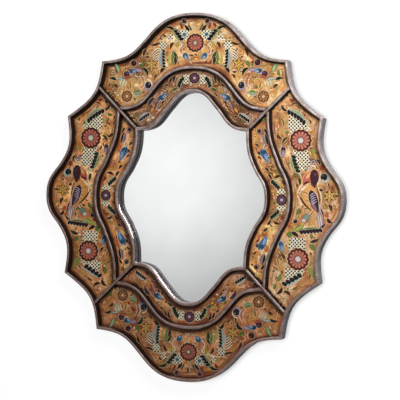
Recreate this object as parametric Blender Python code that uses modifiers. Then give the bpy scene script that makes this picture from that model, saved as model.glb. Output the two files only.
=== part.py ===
"""Scalloped wall mirror with reverse painted glass panels held between raised mouldings.

The frame stands in the XZ plane and faces -Y. Its back lies on y = 0, and the origin is the
middle of the back board's rear face. Each side of the frame is drawn in its own flat frame,
"along" the side and "out" from the middle, and is then turned about Y to its place.
"""
import math
from collections import namedtuple

import bmesh
import bpy
from mathutils import Matrix, Vector

# Mirror opening and painted bands, measured between the middles of the mouldings
OPENING_HALF_WIDTH = 0.1765
OPENING_HALF_HEIGHT = 0.2395
INNER_BAND_WIDTH = 0.0515
INNER_BAND_HEIGHT = 0.0515
OUTER_BAND_WIDTH = 0.122
OUTER_BAND_HEIGHT = 0.122

# Corners: the mirror's ogees rise from its corners, and the mitres leave those at 45 degrees
CROWN_RISE = 0.0865
SIDE_BULGE = 0.0455
CORNER_BAND = 0.045
UPPER_EAR_REACH = 0.042
UPPER_EAR_RISE = 0.108
LOWER_EAR_REACH = 0.1245
LOWER_EAR_DROP = 0.018
SCALLOP_UPPER_PULL = 0.072
SCALLOP_LOWER_PULL = 0.080
SCALLOP_UPPER_SLOPE = math.radians(83)
SCALLOP_LOWER_SLOPE = math.radians(34)

# Shares of a half ogee's length that its curve handles take
APEX_PULL = 0.57
WAIST_PULL_IN = 0.31
WAIST_PULL_OUT = 0.38
END_PULL = 0.53

# Each ogee's waist, as shares of its half length and of its rise, and its slopes at waist and end
OgeeShape = namedtuple("OgeeShape", "waist_along waist_drop waist_slope end_slope")
OUTER_TOP_SHAPE = OgeeShape(0.532, 0.55, math.radians(48), math.radians(3))
MID_TOP_SHAPE = OgeeShape(0.52, 0.50, math.radians(51), 0.0)
INNER_TOP_SHAPE = OgeeShape(0.44, 0.43, math.radians(47), 0.0)
OUTER_SIDE_SHAPE = OgeeShape(0.405, 0.68, math.radians(34), math.radians(-10))
MID_SIDE_SHAPE = OgeeShape(0.41, 0.50, math.radians(22), 0.0)
INNER_SIDE_SHAPE = OgeeShape(0.425, 0.56, math.radians(26), 0.0)

# Wooden rails and the stack of mirror and board let into their backs
RAIL_THICKNESS = 0.015
RAIL_GAP = 0.0003
BOARD_THICKNESS = 0.006
MIRROR_THICKNESS = 0.006
SEAT_GAP = 0.0003
MIRROR_LAP = 0.010
BOARD_LAP = 0.014
EDGE_CLEARANCE = 0.0008

# Painted glass panels
GLASS_THICKNESS = 0.003
GLASS_GAP = 0.0005

# Mouldings: a stem between the glass edges under a round-topped head that laps over them
MOULDING_WIDTH = 0.008
MOULDING_HEIGHT = 0.0195
SHOULDER_HEIGHT = 0.0155
STEM_WIDTH = 0.004
RIM_WIDTH = 0.009
RIM_HEIGHT = 0.021
RIM_SHOULDER_HEIGHT = 0.0165
RIM_STEM = 0.006
JOINT_GAP = 0.0003

# Board screws, countersunk
SCREW_RADIUS = 0.0016
SCREW_HEAD_RADIUS = 0.0034
SCREW_HEAD_DEPTH = 0.0020
SCREW_SINK = 0.0003
SCREW_COVER = 0.003
SCREW_SPACING_ACROSS = 0.100
SCREW_SPACING_UP = 0.150
HOLE_CLEARANCE = 0.0003
HOLE_MOUTH = 0.001

# Strap hangers with a swinging D ring, on the side rails
HANGER_OFFSET = 0.060
HANGER_HEIGHT = 0.105
STRAP_WIDTH = 0.014
STRAP_LENGTH = 0.050
STRAP_THICKNESS = 0.0012
STRAP_WRAP = math.radians(262)
STRAP_SCREW_DROP = 0.027
STRAP_SCREW_PITCH = 0.012
PAN_HEAD_RADIUS = 0.0034
PAN_HEAD_HEIGHT = 0.0018
PAN_RIM_HEIGHT = 0.0006
PAN_TOP_RADIUS = 0.0025
PAN_TOP_HEIGHT = 0.0015
RING_WIRE_RADIUS = 0.0015
RING_WIDTH = 0.024
RING_LEG = 0.005
RING_CORNER = 0.003
RING_CLEARANCE = 0.0004

# Facet counts and mesh limits
CURVE_STEPS = 6
SCALLOP_STEPS = 9
CROWN_STEPS = 4
SCREW_SIDES = 10
ARC_STEPS = 10
CORNER_STEPS = 2
WIRE_RESOLUTION = 2
WELD_DISTANCE = 0.00001
SMOOTH_ANGLE = math.radians(35)

Ogee = namedtuple("Ogee", "apex end shape")
Side = namedtuple("Side", "names turns outer mid inner scallop rise")

# Quarter turns about Y that carry a side drawn upright to its place
TURNS = {"top": 0.0, "right": math.pi / 2, "bottom": math.pi, "left": -math.pi / 2}

HALF_WIDTH = OPENING_HALF_WIDTH + INNER_BAND_WIDTH + OUTER_BAND_WIDTH
HALF_HEIGHT = OPENING_HALF_HEIGHT + INNER_BAND_HEIGHT + OUTER_BAND_HEIGHT
INNER_TIP = Vector((OPENING_HALF_WIDTH - SIDE_BULGE, OPENING_HALF_HEIGHT - CROWN_RISE))
MITRE_RISE = INNER_TIP.y - INNER_TIP.x
MID_TIP = INNER_TIP + Vector((CORNER_BAND, CORNER_BAND))
UPPER_EAR = MID_TIP + Vector((UPPER_EAR_REACH, UPPER_EAR_RISE))
LOWER_EAR = MID_TIP + Vector((LOWER_EAR_REACH, -LOWER_EAR_DROP))

GLASS_BACK = RAIL_THICKNESS + SEAT_GAP
LIP_HEIGHT = GLASS_THICKNESS + 2 * SEAT_GAP
MIRROR_BACK = BOARD_THICKNESS + SEAT_GAP
MIRROR_SEAT = MIRROR_BACK + MIRROR_THICKNESS + SEAT_GAP
MIRROR_HALF = Vector((OPENING_HALF_WIDTH + MIRROR_LAP, OPENING_HALF_HEIGHT + MIRROR_LAP))
BOARD_HALF = MIRROR_HALF + Vector((BOARD_LAP, BOARD_LAP))
SCREW_LENGTH = RAIL_THICKNESS - SCREW_COVER
RING_AXIS_DEPTH = SEAT_GAP + STRAP_THICKNESS + RING_CLEARANCE + RING_WIRE_RADIUS
HANGER_REACH = BOARD_HALF.x + HANGER_OFFSET

# A flat drawing's XY becomes the frame's XZ, and its Z becomes the way to the front
STAND_UP = Matrix.Rotation(math.pi / 2, 4, "X")


def clear_scene():
    for existing in list(bpy.data.objects):
        bpy.data.objects.remove(existing, do_unlink=True)


def new_collection(name):
    collection = bpy.data.collections.new(name)
    bpy.context.scene.collection.children.link(collection)
    return collection


def new_material(name, colour, roughness, metallic=0.0):
    material = bpy.data.materials.new(name)
    material.use_nodes = True
    shader = material.node_tree.nodes["Principled BSDF"]
    shader.inputs["Base Color"].default_value = (*colour, 1.0)
    shader.inputs["Roughness"].default_value = roughness
    shader.inputs["Metallic"].default_value = metallic
    return material


# Curves of the design

def bezier(start, start_handle, end_handle, end, steps):
    """Points of a cubic with their unit tangents, both ends included."""
    samples = []
    for step in range(steps + 1):
        t = step / steps
        near = start.lerp(start_handle, t)
        middle = start_handle.lerp(end_handle, t)
        far = end_handle.lerp(end, t)
        before = near.lerp(middle, t)
        after = middle.lerp(far, t)
        samples.append((before.lerp(after, t), (after - before).normalized()))
    return samples


def slope_vector(angle):
    return Vector((math.cos(angle), -math.sin(angle)))


def mirrored(samples):
    """The same line on the other half of a side, still running from left to right."""
    return [(Vector((-p.x, p.y)), Vector((t.x, -t.y))) for p, t in reversed(samples)]


def ogee_line(ogee):
    """A whole ogee, from its left end over the apex to its right end."""
    apex = Vector((0.0, ogee.apex))
    shape = ogee.shape
    waist_out = ogee.apex - shape.waist_drop * (ogee.apex - ogee.end.y)
    waist = Vector((shape.waist_along * ogee.end.x, waist_out))
    waist_way = slope_vector(shape.waist_slope)
    end_way = slope_vector(shape.end_slope)
    first = (waist - apex).length
    second = (ogee.end - waist).length
    crown_handle = apex + Vector((APEX_PULL * waist.x, 0.0))
    crown = bezier(apex, crown_handle, waist - waist_way * (WAIST_PULL_IN * first), waist, CURVE_STEPS)
    flank = bezier(waist, waist + waist_way * (WAIST_PULL_OUT * second),
                   ogee.end - end_way * (END_PULL * second), ogee.end, CURVE_STEPS)
    half = crown + flank[1:]
    return mirrored(half[1:]) + half


def scallop_from_upper_ear():
    """The hollow between the two ears of the upper right corner, as (x, z)."""
    leave = slope_vector(SCALLOP_UPPER_SLOPE)
    arrive = slope_vector(SCALLOP_LOWER_SLOPE)
    return bezier(UPPER_EAR, UPPER_EAR + leave * SCALLOP_UPPER_PULL,
                  LOWER_EAR - arrive * SCALLOP_LOWER_PULL, LOWER_EAR, SCALLOP_STEPS)


def scallop_from_lower_ear():
    """The same hollow seen from a left or right side, as (z, x)."""
    return [(p.yx, -t.yx) for p, t in reversed(scallop_from_upper_ear())]


def offset(samples, distance):
    """The line moved outwards by a distance, as plain points."""
    return [p + Vector((-t.y, t.x)) * distance for p, t in samples]


def extended(samples, length):
    """The line's points with a straight run added at each end."""
    first, first_way = samples[0]
    last, last_way = samples[-1]
    return [first - first_way * length] + [p for p, _ in samples] + [last + last_way * length]


def trimmed(points, depth):
    """The stretch of a line where depth is positive, cut to length at its ends."""
    kept = []
    for a, b in zip(points, points[1:]):
        depth_a = depth(a)
        depth_b = depth(b)
        if depth_a >= 0:
            kept.append(a)
        if (depth_a < 0) != (depth_b < 0):
            kept.append(a.lerp(b, depth_a / (depth_a - depth_b)))
    if depth(points[-1]) >= 0:
        kept.append(points[-1])
    return kept


def ear_mitre(side):
    """The ear's tip and the unit vector across its mitre, towards the ogee."""
    _, ogee_way = ogee_line(side.outer)[-1]
    tip, scallop_way = side.scallop[0]
    inwards = (scallop_way - ogee_way).normalized()
    across = Vector((inwards.y, -inwards.x))
    if across.dot(ogee_way) > 0:
        across = -across
    return tip, across


def outer_chain(side, distance):
    """The frame's outline over one side and into both hollows, moved outwards by a distance."""
    tip, across = ear_mitre(side)

    def ogee_side(point):
        return (Vector((abs(point.x), point.y)) - tip).dot(across)

    ogee = trimmed(offset(ogee_line(side.outer), distance), ogee_side)
    right = trimmed(offset(side.scallop, distance), lambda point: -ogee_side(point))[1:]
    left = [Vector((-p.x, p.y)) for p in reversed(right)]
    return left + ogee + right


def within_mitres(points, side, margin):
    """A line cut off at the side's two mitres, a margin short of them."""
    def depth(point):
        return (point.y - abs(point.x) - side.rise) / math.sqrt(2) - margin

    return trimmed(points, depth)


def band(side, outer_points, inner_points, margin):
    """The outline between an outer and an inner line of one side."""
    outer_line = within_mitres(outer_points, side, margin)
    inner_line = within_mitres(inner_points, side, margin)
    return outer_line + inner_line[::-1]


TOP_AND_BOTTOM = Side(
    names=("top", "bottom"),
    turns=(TURNS["top"], TURNS["bottom"]),
    outer=Ogee(HALF_HEIGHT, UPPER_EAR, OUTER_TOP_SHAPE),
    mid=Ogee(OPENING_HALF_HEIGHT + INNER_BAND_HEIGHT, MID_TIP, MID_TOP_SHAPE),
    inner=Ogee(OPENING_HALF_HEIGHT, INNER_TIP, INNER_TOP_SHAPE),
    scallop=scallop_from_upper_ear(),
    rise=MITRE_RISE,
)
LEFT_AND_RIGHT = Side(
    names=("left", "right"),
    turns=(TURNS["left"], TURNS["right"]),
    outer=Ogee(HALF_WIDTH, LOWER_EAR.yx, OUTER_SIDE_SHAPE),
    mid=Ogee(OPENING_HALF_WIDTH + INNER_BAND_WIDTH, MID_TIP.yx, MID_SIDE_SHAPE),
    inner=Ogee(OPENING_HALF_WIDTH, INNER_TIP.yx, INNER_SIDE_SHAPE),
    scallop=scallop_from_lower_ear(),
    rise=-MITRE_RISE,
)


# Mesh making

def mesh_from_curve(curve):
    """The solid that a curve's extrusion or bevel makes, with its caps welded on."""
    holder = bpy.data.objects.new(curve.name, curve)
    bpy.context.scene.collection.objects.link(holder)
    graph = bpy.context.evaluated_depsgraph_get()
    mesh = bpy.data.meshes.new_from_object(holder.evaluated_get(graph))
    bpy.data.objects.remove(holder)
    body = bmesh.new()
    body.from_mesh(mesh)
    bmesh.ops.remove_doubles(body, verts=body.verts, dist=WELD_DISTANCE)
    bmesh.ops.recalc_face_normals(body, faces=body.faces)
    body.to_mesh(mesh)
    body.free()
    return mesh


def add_spline(curve, points, cyclic):
    spline = curve.splines.new("POLY")
    spline.points.add(len(points) - 1)
    for spline_point, point in zip(spline.points, points):
        spline_point.co = (*point.to_3d(), 1.0)
    spline.use_cyclic_u = cyclic


def slab(name, outline, back, thickness):
    """A flat plate of the given outline, standing in the frame's plane."""
    curve = bpy.data.curves.new(name, "CURVE")
    curve.dimensions = "2D"
    curve.fill_mode = "BOTH"
    curve.extrude = thickness / 2
    add_spline(curve, outline, True)
    mesh = mesh_from_curve(curve)
    mesh.transform(STAND_UP @ Matrix.Translation((0.0, 0.0, back + thickness / 2)))
    return mesh


def sweep(name, path, profile):
    """A moulding: the profile, (out, height) from the line, carried along a flat path."""
    section = bpy.data.curves.new(name + "_section", "CURVE")
    section.dimensions = "2D"
    add_spline(section, [Vector((-out, height)) for out, height in profile], True)
    section_object = bpy.data.objects.new(section.name, section)
    curve = bpy.data.curves.new(name, "CURVE")
    curve.dimensions = "2D"
    curve.bevel_mode = "OBJECT"
    curve.bevel_object = section_object
    curve.use_fill_caps = True
    add_spline(curve, path, False)
    mesh = mesh_from_curve(curve)
    bpy.data.objects.remove(section_object)
    mesh.transform(STAND_UP @ Matrix.Translation((0.0, 0.0, GLASS_BACK)))
    return mesh


def cut_off(mesh, point, normal):
    """Cuts away what lies beyond an upright plane, given in the frame's (x, z), and caps the cut."""
    body = bmesh.new()
    body.from_mesh(mesh)
    everything = body.verts[:] + body.edges[:] + body.faces[:]
    bmesh.ops.bisect_plane(body, geom=everything, plane_co=(point.x, 0.0, point.y),
                           plane_no=(normal.x, 0.0, normal.y), clear_outer=True)
    open_edges = [edge for edge in body.edges if edge.is_boundary]
    bmesh.ops.holes_fill(body, edges=open_edges)
    bmesh.ops.recalc_face_normals(body, faces=body.faces)
    body.to_mesh(mesh)
    body.free()


def box_mesh(name, half, back, front):
    """A plate centred on the middle line, between two distances from the frame's back."""
    mesh = bpy.data.meshes.new(name)
    body = bmesh.new()
    bmesh.ops.create_cube(body, size=1.0)
    size = Matrix.Diagonal((2 * half.x, front - back, 2 * half.y, 1.0))
    body.transform(Matrix.Translation((0.0, -(back + front) / 2, 0.0)) @ size)
    body.to_mesh(mesh)
    body.free()
    return mesh


def turned_mesh(name, profile):
    """A turned piece on Z, from (radius, height) points running down its outer side."""
    mesh = bpy.data.meshes.new(name)
    points = [(radius, 0.0, height) for radius, height in profile]
    mesh.from_pydata(points, [(i, i + 1) for i in range(len(points) - 1)], [])
    holder = bpy.data.objects.new(name, mesh)
    bpy.context.scene.collection.objects.link(holder)
    spin = holder.modifiers.new("spin", "SCREW")
    spin.steps = SCREW_SIDES
    spin.render_steps = SCREW_SIDES
    spin.use_merge_vertices = True
    spin.merge_threshold = WELD_DISTANCE
    graph = bpy.context.evaluated_depsgraph_get()
    solid = bpy.data.meshes.new_from_object(holder.evaluated_get(graph))
    bpy.data.objects.remove(holder)
    solid.name = name
    return solid


def joined_copies(name, mesh, places):
    """One mesh holding a copy of another at each place."""
    body = bmesh.new()
    for place in places:
        copy = mesh.copy()
        copy.transform(place)
        body.from_mesh(copy)
        bpy.data.meshes.remove(copy)
    joined = bpy.data.meshes.new(name)
    body.to_mesh(joined)
    body.free()
    return joined


# Object making

def add_part(name, mesh, material, turn=0.0, location=(0.0, 0.0, 0.0), rotation=None):
    part = bpy.data.objects.new(name, mesh)
    mesh.shade_smooth()
    mesh.set_sharp_from_angle(angle=SMOOTH_ANGLE)
    if not mesh.materials:
        mesh.materials.append(material)
    part.location = location
    part.rotation_euler = rotation or (0.0, turn, 0.0)
    part.parent = ORIGIN
    PARTS.objects.link(part)
    return part


def add_cutter(name, mesh):
    cutter = bpy.data.objects.new(name, mesh)
    cutter.hide_render = True
    cutter.display_type = "WIRE"
    CUTTERS.objects.link(cutter)
    return cutter


def cut_with(part, *cutters):
    for cutter in cutters:
        boolean = part.modifiers.new(cutter.name, "BOOLEAN")
        boolean.operation = "DIFFERENCE"
        boolean.solver = "EXACT"
        boolean.object = cutter


def moulding_profile(head_in, head_out, stem_in, stem_out, shoulder=SHOULDER_HEIGHT, height=MOULDING_HEIGHT):
    """A moulding's section: stem, lips over the glass, straight shoulders and a rounded top."""
    middle = (head_in + head_out) / 2
    half = (head_out - head_in) / 2
    crown = height - shoulder
    top = []
    for step in range(1, CROWN_STEPS):
        angle = math.pi * step / CROWN_STEPS
        top.append((middle + half * math.cos(angle), shoulder + crown * math.sin(angle)))
    right = [(stem_out, 0.0)]
    if stem_out < head_out:
        right += [(stem_out, LIP_HEIGHT), (head_out, LIP_HEIGHT)]
    left = [(stem_in, 0.0)]
    if stem_in > head_in:
        left += [(stem_in, LIP_HEIGHT), (head_in, LIP_HEIGHT)]
    shoulders = [(head_out, shoulder)] + top + [(head_in, shoulder)]
    return right + shoulders + left[::-1]


# Screws and their places

def board_screw_places():
    """Each screw's place near the board's edge, its head towards +Y."""
    inset = BOARD_HALF - Vector((BOARD_LAP, BOARD_LAP)) / 2
    spots = []
    for sign in (-1, 1):
        for way in (-1, 1):
            spots.append((way * SCREW_SPACING_ACROSS, sign * inset.y))
            spots.append((sign * inset.x, way * SCREW_SPACING_UP))
    return [Vector((x, -SCREW_SINK, z)) for x, z in spots]


def hanger_screw_places():
    face = SEAT_GAP + STRAP_THICKNESS + SEAT_GAP
    spots = []
    for sign in (-1, 1):
        for step in range(2):
            drop = STRAP_SCREW_DROP + step * STRAP_SCREW_PITCH
            spots.append(Vector((sign * HANGER_REACH, face, HANGER_HEIGHT - drop)))
    return spots


# A turned screw's axis is Z with its head up, and in the frame its head faces +Y
SCREW_TURN = Matrix.Rotation(-math.pi / 2, 4, "X")


def shank_profile(clearance):
    """A screw's shank down to its point, or with a clearance the hole for it."""
    radius = SCREW_RADIUS + clearance
    return [(radius, SCREW_RADIUS - SCREW_LENGTH), (0.0, -SCREW_LENGTH - clearance)]


def countersunk_profile(clearance, mouth):
    """A countersunk screw, or with a clearance and a mouth the hole that takes it."""
    head = SCREW_HEAD_RADIUS + clearance
    shank = SCREW_RADIUS + clearance
    cone = [(0.0, mouth), (head, mouth), (head, 0.0), (shank, -SCREW_HEAD_DEPTH)]
    return cone + shank_profile(clearance)


def pan_profile():
    head = [(0.0, PAN_HEAD_HEIGHT), (PAN_TOP_RADIUS, PAN_TOP_HEIGHT), (PAN_HEAD_RADIUS, PAN_RIM_HEIGHT)]
    return head + [(PAN_HEAD_RADIUS, 0.0), (SCREW_RADIUS, 0.0)] + shank_profile(0.0)


def pan_hole_profile():
    radius = SCREW_RADIUS + HOLE_CLEARANCE
    return [(0.0, HOLE_MOUTH), (radius, HOLE_MOUTH)] + shank_profile(HOLE_CLEARANCE)


def screw_matrix(place):
    return Matrix.Translation(place) @ SCREW_TURN


# The pieces

def add_rails(cutters):
    for side in (TOP_AND_BOTTOM, LEFT_AND_RIGHT):
        opening = offset(ogee_line(side.inner), -MOULDING_WIDTH / 2)
        outline = band(side, outer_chain(side, 0.0), opening, RAIL_GAP / 2)
        for name, turn in zip(side.names, side.turns):
            mesh = slab("rail_" + name, outline, 0.0, RAIL_THICKNESS)
            rail = add_part("rail_" + name, mesh, WOOD, turn)
            cut_with(rail, *cutters)


def add_glass():
    edge = STEM_WIDTH / 2 + GLASS_GAP
    for side in (TOP_AND_BOTTOM, LEFT_AND_RIGHT):
        mid = ogee_line(side.mid)
        inner = ogee_line(side.inner)
        rim_edge = outer_chain(side, -RIM_STEM - GLASS_GAP)
        outlines = {
            "glass_outer_": band(side, rim_edge, offset(mid, edge), edge),
            "glass_inner_": band(side, offset(mid, -edge), offset(inner, edge), edge),
        }
        for prefix, outline in outlines.items():
            for name, turn in zip(side.names, side.turns):
                mesh = slab(prefix + name, outline, GLASS_BACK, GLASS_THICKNESS)
                add_part(prefix + name, mesh, PAINTED_GLASS, turn)


def mitre_cut(mesh, side, margin):
    """Cuts a moulding off at both of its side's mitres."""
    for sign in (-1, 1):
        way = Vector((sign, -1.0)).normalized()
        cut_off(mesh, Vector((0.0, side.rise)) - way * margin, way)


def add_band_mouldings():
    """The mouldings round the mirror and between the two painted bands."""
    half = MOULDING_WIDTH / 2
    stem = STEM_WIDTH / 2
    mid_profile = moulding_profile(-half, half, -stem, stem)
    inner_profile = moulding_profile(-half, half, -half, stem)
    for side in (TOP_AND_BOTTOM, LEFT_AND_RIGHT):
        for name, turn in zip(side.names, side.turns):
            mid_line = extended(ogee_line(side.mid), MOULDING_WIDTH)
            mid = sweep("mid_moulding_" + name, mid_line, mid_profile)
            mitre_cut(mid, side, half + JOINT_GAP)
            add_part("mid_moulding_" + name, mid, SILVER_LEAF, turn)
            inner_line = extended(ogee_line(side.inner), MOULDING_WIDTH)
            inner = sweep("inner_moulding_" + name, inner_line, inner_profile)
            mitre_cut(inner, side, JOINT_GAP / 2)
            add_part("inner_moulding_" + name, inner, SILVER_LEAF, turn)


def add_rims():
    """The outer mouldings: one along each side and one in each corner's hollow, mitred at the ears."""
    profile = moulding_profile(-RIM_WIDTH, 0.0, -RIM_STEM, 0.0, RIM_SHOULDER_HEIGHT, RIM_HEIGHT)
    for side in (TOP_AND_BOTTOM, LEFT_AND_RIGHT):
        tip, across = ear_mitre(side)
        for name, turn in zip(side.names, side.turns):
            mesh = sweep("rim_" + name, extended(ogee_line(side.outer), RIM_WIDTH), profile)
            for sign in (-1, 1):
                ear = Vector((sign * tip.x, tip.y))
                way = Vector((-sign * across.x, -across.y))
                cut_off(mesh, ear - way * (JOINT_GAP / 2), way)
            add_part("rim_" + name, mesh, SILVER_LEAF, turn)
    for upper in ("top", "bottom"):
        for lower in ("left", "right"):
            add_scallop_rim("rim_scallop_%s_%s" % (upper, lower), profile, upper, lower)


def add_scallop_rim(name, profile, upper, lower):
    """A hollow's rim is drawn in the top corner that a half turn or none brings to its place."""
    samples = scallop_from_upper_ear()
    upper_tip, upper_across = ear_mitre(TOP_AND_BOTTOM)
    lower_tip, lower_across = ear_mitre(LEFT_AND_RIGHT)
    cuts = [(upper_tip, upper_across), (lower_tip.yx, lower_across.yx)]
    flipped = (upper == "top") == (lower == "left")
    if flipped:
        samples = mirrored(samples)
        cuts = [(Vector((-p.x, p.y)), Vector((-w.x, w.y))) for p, w in cuts]
    mesh = sweep(name, extended(samples, RIM_WIDTH), profile)
    for tip, way in cuts:
        cut_off(mesh, tip - way * (JOINT_GAP / 2), way)
    add_part(name, mesh, SILVER_LEAF, TURNS[upper])


def scallop_crossing():
    """Where the mitre meets the rim's inner edge, and the rim's direction there."""
    inner_edge = offset(scallop_from_upper_ear(), -RIM_WIDTH)
    for a, b in zip(inner_edge, inner_edge[1:]):
        height_a = a.y - a.x - MITRE_RISE
        height_b = b.y - b.x - MITRE_RISE
        if height_a >= 0 > height_b:
            return a.lerp(b, height_a / (height_a - height_b)), (b - a).normalized()


def add_mitre_mouldings():
    """The straight mouldings over the rails' mitres, notched round the mirror moulding's corner."""
    half = MOULDING_WIDTH / 2
    stem = STEM_WIDTH / 2
    profile = moulding_profile(-half, half, -stem, stem)
    meet, rim_way = scallop_crossing()
    corner = INNER_TIP
    notch = corner + Vector((half + JOINT_GAP, half + JOINT_GAP))
    for upper in ("top", "bottom"):
        for lower in ("left", "right"):
            name = "mitre_moulding_%s_%s" % (upper, lower)
            sign = -1 if (upper == "top") == (lower == "left") else 1
            along = Vector((sign * (meet.x - corner.x), meet.y - corner.y)).normalized() * RIM_WIDTH
            end = Vector((sign * meet.x, meet.y))
            mesh = sweep(name, [Vector((sign * corner.x, corner.y)), end + along], profile)
            out = Vector((sign * -rim_way.y, rim_way.x))
            cut_off(mesh, end - out * JOINT_GAP, out)
            part = add_part(name, mesh, SILVER_LEAF, TURNS[upper])
            block = box_mesh(name + "_notch", notch, 0.0, 2 * (RAIL_THICKNESS + MOULDING_HEIGHT))
            cut_with(part, add_cutter(name + "_notch", block))


def add_mirror_and_board(screw_holes):
    mirror = box_mesh("mirror_glass", MIRROR_HALF, MIRROR_BACK, MIRROR_BACK + MIRROR_THICKNESS)
    add_part("mirror_glass", mirror, MIRROR)
    board = box_mesh("back_board", BOARD_HALF, 0.0, BOARD_THICKNESS)
    cut_with(add_part("back_board", board, HARDBOARD), screw_holes)


def add_board_screws():
    mesh = turned_mesh("board_screw", countersunk_profile(0.0, 0.0))
    for number, place in enumerate(board_screw_places(), 1):
        name = "board_screw_%d" % number
        add_part(name, mesh, STEEL, location=place, rotation=SCREW_TURN.to_euler())


def strap_outline():
    """The strap's edge on (y, z) from the ring's axis: a plate that rolls round the ring's bar."""
    inner = RING_WIRE_RADIUS + RING_CLEARANCE
    outer = inner + STRAP_THICKNESS
    angles = [math.pi - STRAP_WRAP * step / ARC_STEPS for step in range(ARC_STEPS + 1)]
    roll_out = [Vector((outer * math.cos(a), outer * math.sin(a))) for a in angles]
    roll_in = [Vector((inner * math.cos(a), inner * math.sin(a))) for a in reversed(angles)]
    return roll_out + roll_in + [Vector((-inner, -STRAP_LENGTH)), Vector((-outer, -STRAP_LENGTH))]


def ring_path():
    """The D ring's wire on (x, z) from its bar: hanging down, with a round lower end."""
    half = RING_WIDTH / 2
    points = []
    for sign in (-1, 1):
        corner = []
        for step in range(CORNER_STEPS + 1):
            angle = math.pi / 2 * step / CORNER_STEPS
            corner.append(Vector((sign * (half - RING_CORNER + RING_CORNER * math.sin(angle)),
                                  RING_CORNER * math.cos(angle) - RING_CORNER)))
        points += corner if sign > 0 else corner[::-1]
    for step in range(ARC_STEPS + 1):
        angle = math.pi * step / ARC_STEPS
        points.append(Vector((half * math.cos(angle), -RING_LEG - half * math.sin(angle))))
    return points


def add_hangers(screw_holes):
    strap_curve_turn = Matrix(((0, 0, 1, 0), (1, 0, 0, 0), (0, 1, 0, 0), (0, 0, 0, 1)))
    screw = turned_mesh("hanger_screw", pan_profile())
    for sign, name in ((-1, "left"), (1, "right")):
        axis = Vector((sign * HANGER_REACH, RING_AXIS_DEPTH, HANGER_HEIGHT))
        curve = bpy.data.curves.new("hanger_strap_" + name, "CURVE")
        curve.dimensions = "2D"
        curve.fill_mode = "BOTH"
        curve.extrude = STRAP_WIDTH / 2
        add_spline(curve, strap_outline(), True)
        strap = mesh_from_curve(curve)
        strap.transform(strap_curve_turn)
        cut_with(add_part("hanger_strap_" + name, strap, ZINC, location=axis), screw_holes)
        wire = bpy.data.curves.new("d_ring_" + name, "CURVE")
        wire.dimensions = "3D"
        wire.bevel_depth = RING_WIRE_RADIUS
        wire.bevel_resolution = WIRE_RESOLUTION
        add_spline(wire, [Vector((p.x, 0.0, p.y)) for p in ring_path()], True)
        add_part("d_ring_" + name, mesh_from_curve(wire), ZINC, location=axis)
    for number, place in enumerate(hanger_screw_places(), 1):
        name = "hanger_screw_%d" % number
        add_part(name, screw, STEEL, location=place, rotation=SCREW_TURN.to_euler())


clear_scene()
PARTS = new_collection("reverse_painted_glass_mirror")
CUTTERS = new_collection("cutters")
ORIGIN = bpy.data.objects.new("wall_centre", None)
PARTS.objects.link(ORIGIN)

WOOD = new_material("stained_wood", (0.060, 0.034, 0.024), 0.55)
PAINTED_GLASS = new_material("painted_glass", (0.55, 0.26, 0.08), 0.08)
SILVER_LEAF = new_material("silver_leaf", (0.46, 0.39, 0.37), 0.38, 0.7)
MIRROR = new_material("silvered_glass", (0.90, 0.91, 0.91), 0.02, 1.0)
HARDBOARD = new_material("hardboard", (0.23, 0.13, 0.07), 0.8)
STEEL = new_material("screw_steel", (0.55, 0.53, 0.47), 0.35, 1.0)
ZINC = new_material("zinc_plate", (0.62, 0.62, 0.62), 0.3, 1.0)

SCREW_PLACES = [screw_matrix(place) for place in board_screw_places()]
HANGER_PLACES = [screw_matrix(place) for place in hanger_screw_places()]
POCKET_SIDE = Vector((EDGE_CLEARANCE, EDGE_CLEARANCE))
MIRROR_POCKET = add_cutter("mirror_pocket", box_mesh(
    "mirror_pocket", MIRROR_HALF + POCKET_SIDE, -MIRROR_BACK, MIRROR_SEAT))
BOARD_POCKET = add_cutter("board_pocket", box_mesh(
    "board_pocket", BOARD_HALF + POCKET_SIDE, -MIRROR_BACK, MIRROR_BACK))
BOARD_HOLE = turned_mesh("board_screw_hole", countersunk_profile(HOLE_CLEARANCE, HOLE_MOUTH))
BOARD_SCREW_HOLES = add_cutter("board_screw_holes", joined_copies(
    "board_screw_holes", BOARD_HOLE, SCREW_PLACES))
HANGER_HOLE = turned_mesh("hanger_screw_hole", pan_hole_profile())
HANGER_SCREW_HOLES = add_cutter("hanger_screw_holes", joined_copies(
    "hanger_screw_holes", HANGER_HOLE, HANGER_PLACES))

add_rails((MIRROR_POCKET, BOARD_POCKET, BOARD_SCREW_HOLES, HANGER_SCREW_HOLES))
add_glass()
add_band_mouldings()
add_rims()
add_mitre_mouldings()
add_mirror_and_board(BOARD_SCREW_HOLES)
add_board_screws()
add_hangers(HANGER_SCREW_HOLES)
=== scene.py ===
"""Scalloped wall mirror with reverse painted glass panels, dressed around its solids.

Lengths are in metres. The frame stands in the XZ plane and faces -Y. Flat drawings are (x, z) pairs
seen from the front. Each side is drawn as (along, out) and then turned to its place.
"""
import math
import random

import bmesh
import bpy
import numpy as np
from mathutils import Matrix, Vector
from mathutils.kdtree import KDTree


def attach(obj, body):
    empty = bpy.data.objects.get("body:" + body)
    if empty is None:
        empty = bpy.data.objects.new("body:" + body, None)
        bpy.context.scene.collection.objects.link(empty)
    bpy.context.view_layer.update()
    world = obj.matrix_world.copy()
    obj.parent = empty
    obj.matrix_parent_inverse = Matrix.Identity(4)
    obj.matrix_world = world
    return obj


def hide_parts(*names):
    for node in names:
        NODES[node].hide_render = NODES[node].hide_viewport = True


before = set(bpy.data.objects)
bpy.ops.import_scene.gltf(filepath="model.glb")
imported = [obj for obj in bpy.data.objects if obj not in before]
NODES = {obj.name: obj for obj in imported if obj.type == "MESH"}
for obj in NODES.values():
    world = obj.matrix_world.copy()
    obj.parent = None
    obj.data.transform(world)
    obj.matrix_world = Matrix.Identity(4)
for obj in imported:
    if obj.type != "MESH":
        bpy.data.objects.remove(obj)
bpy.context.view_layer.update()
MM = 0.001
rng = random.Random(11)

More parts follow.
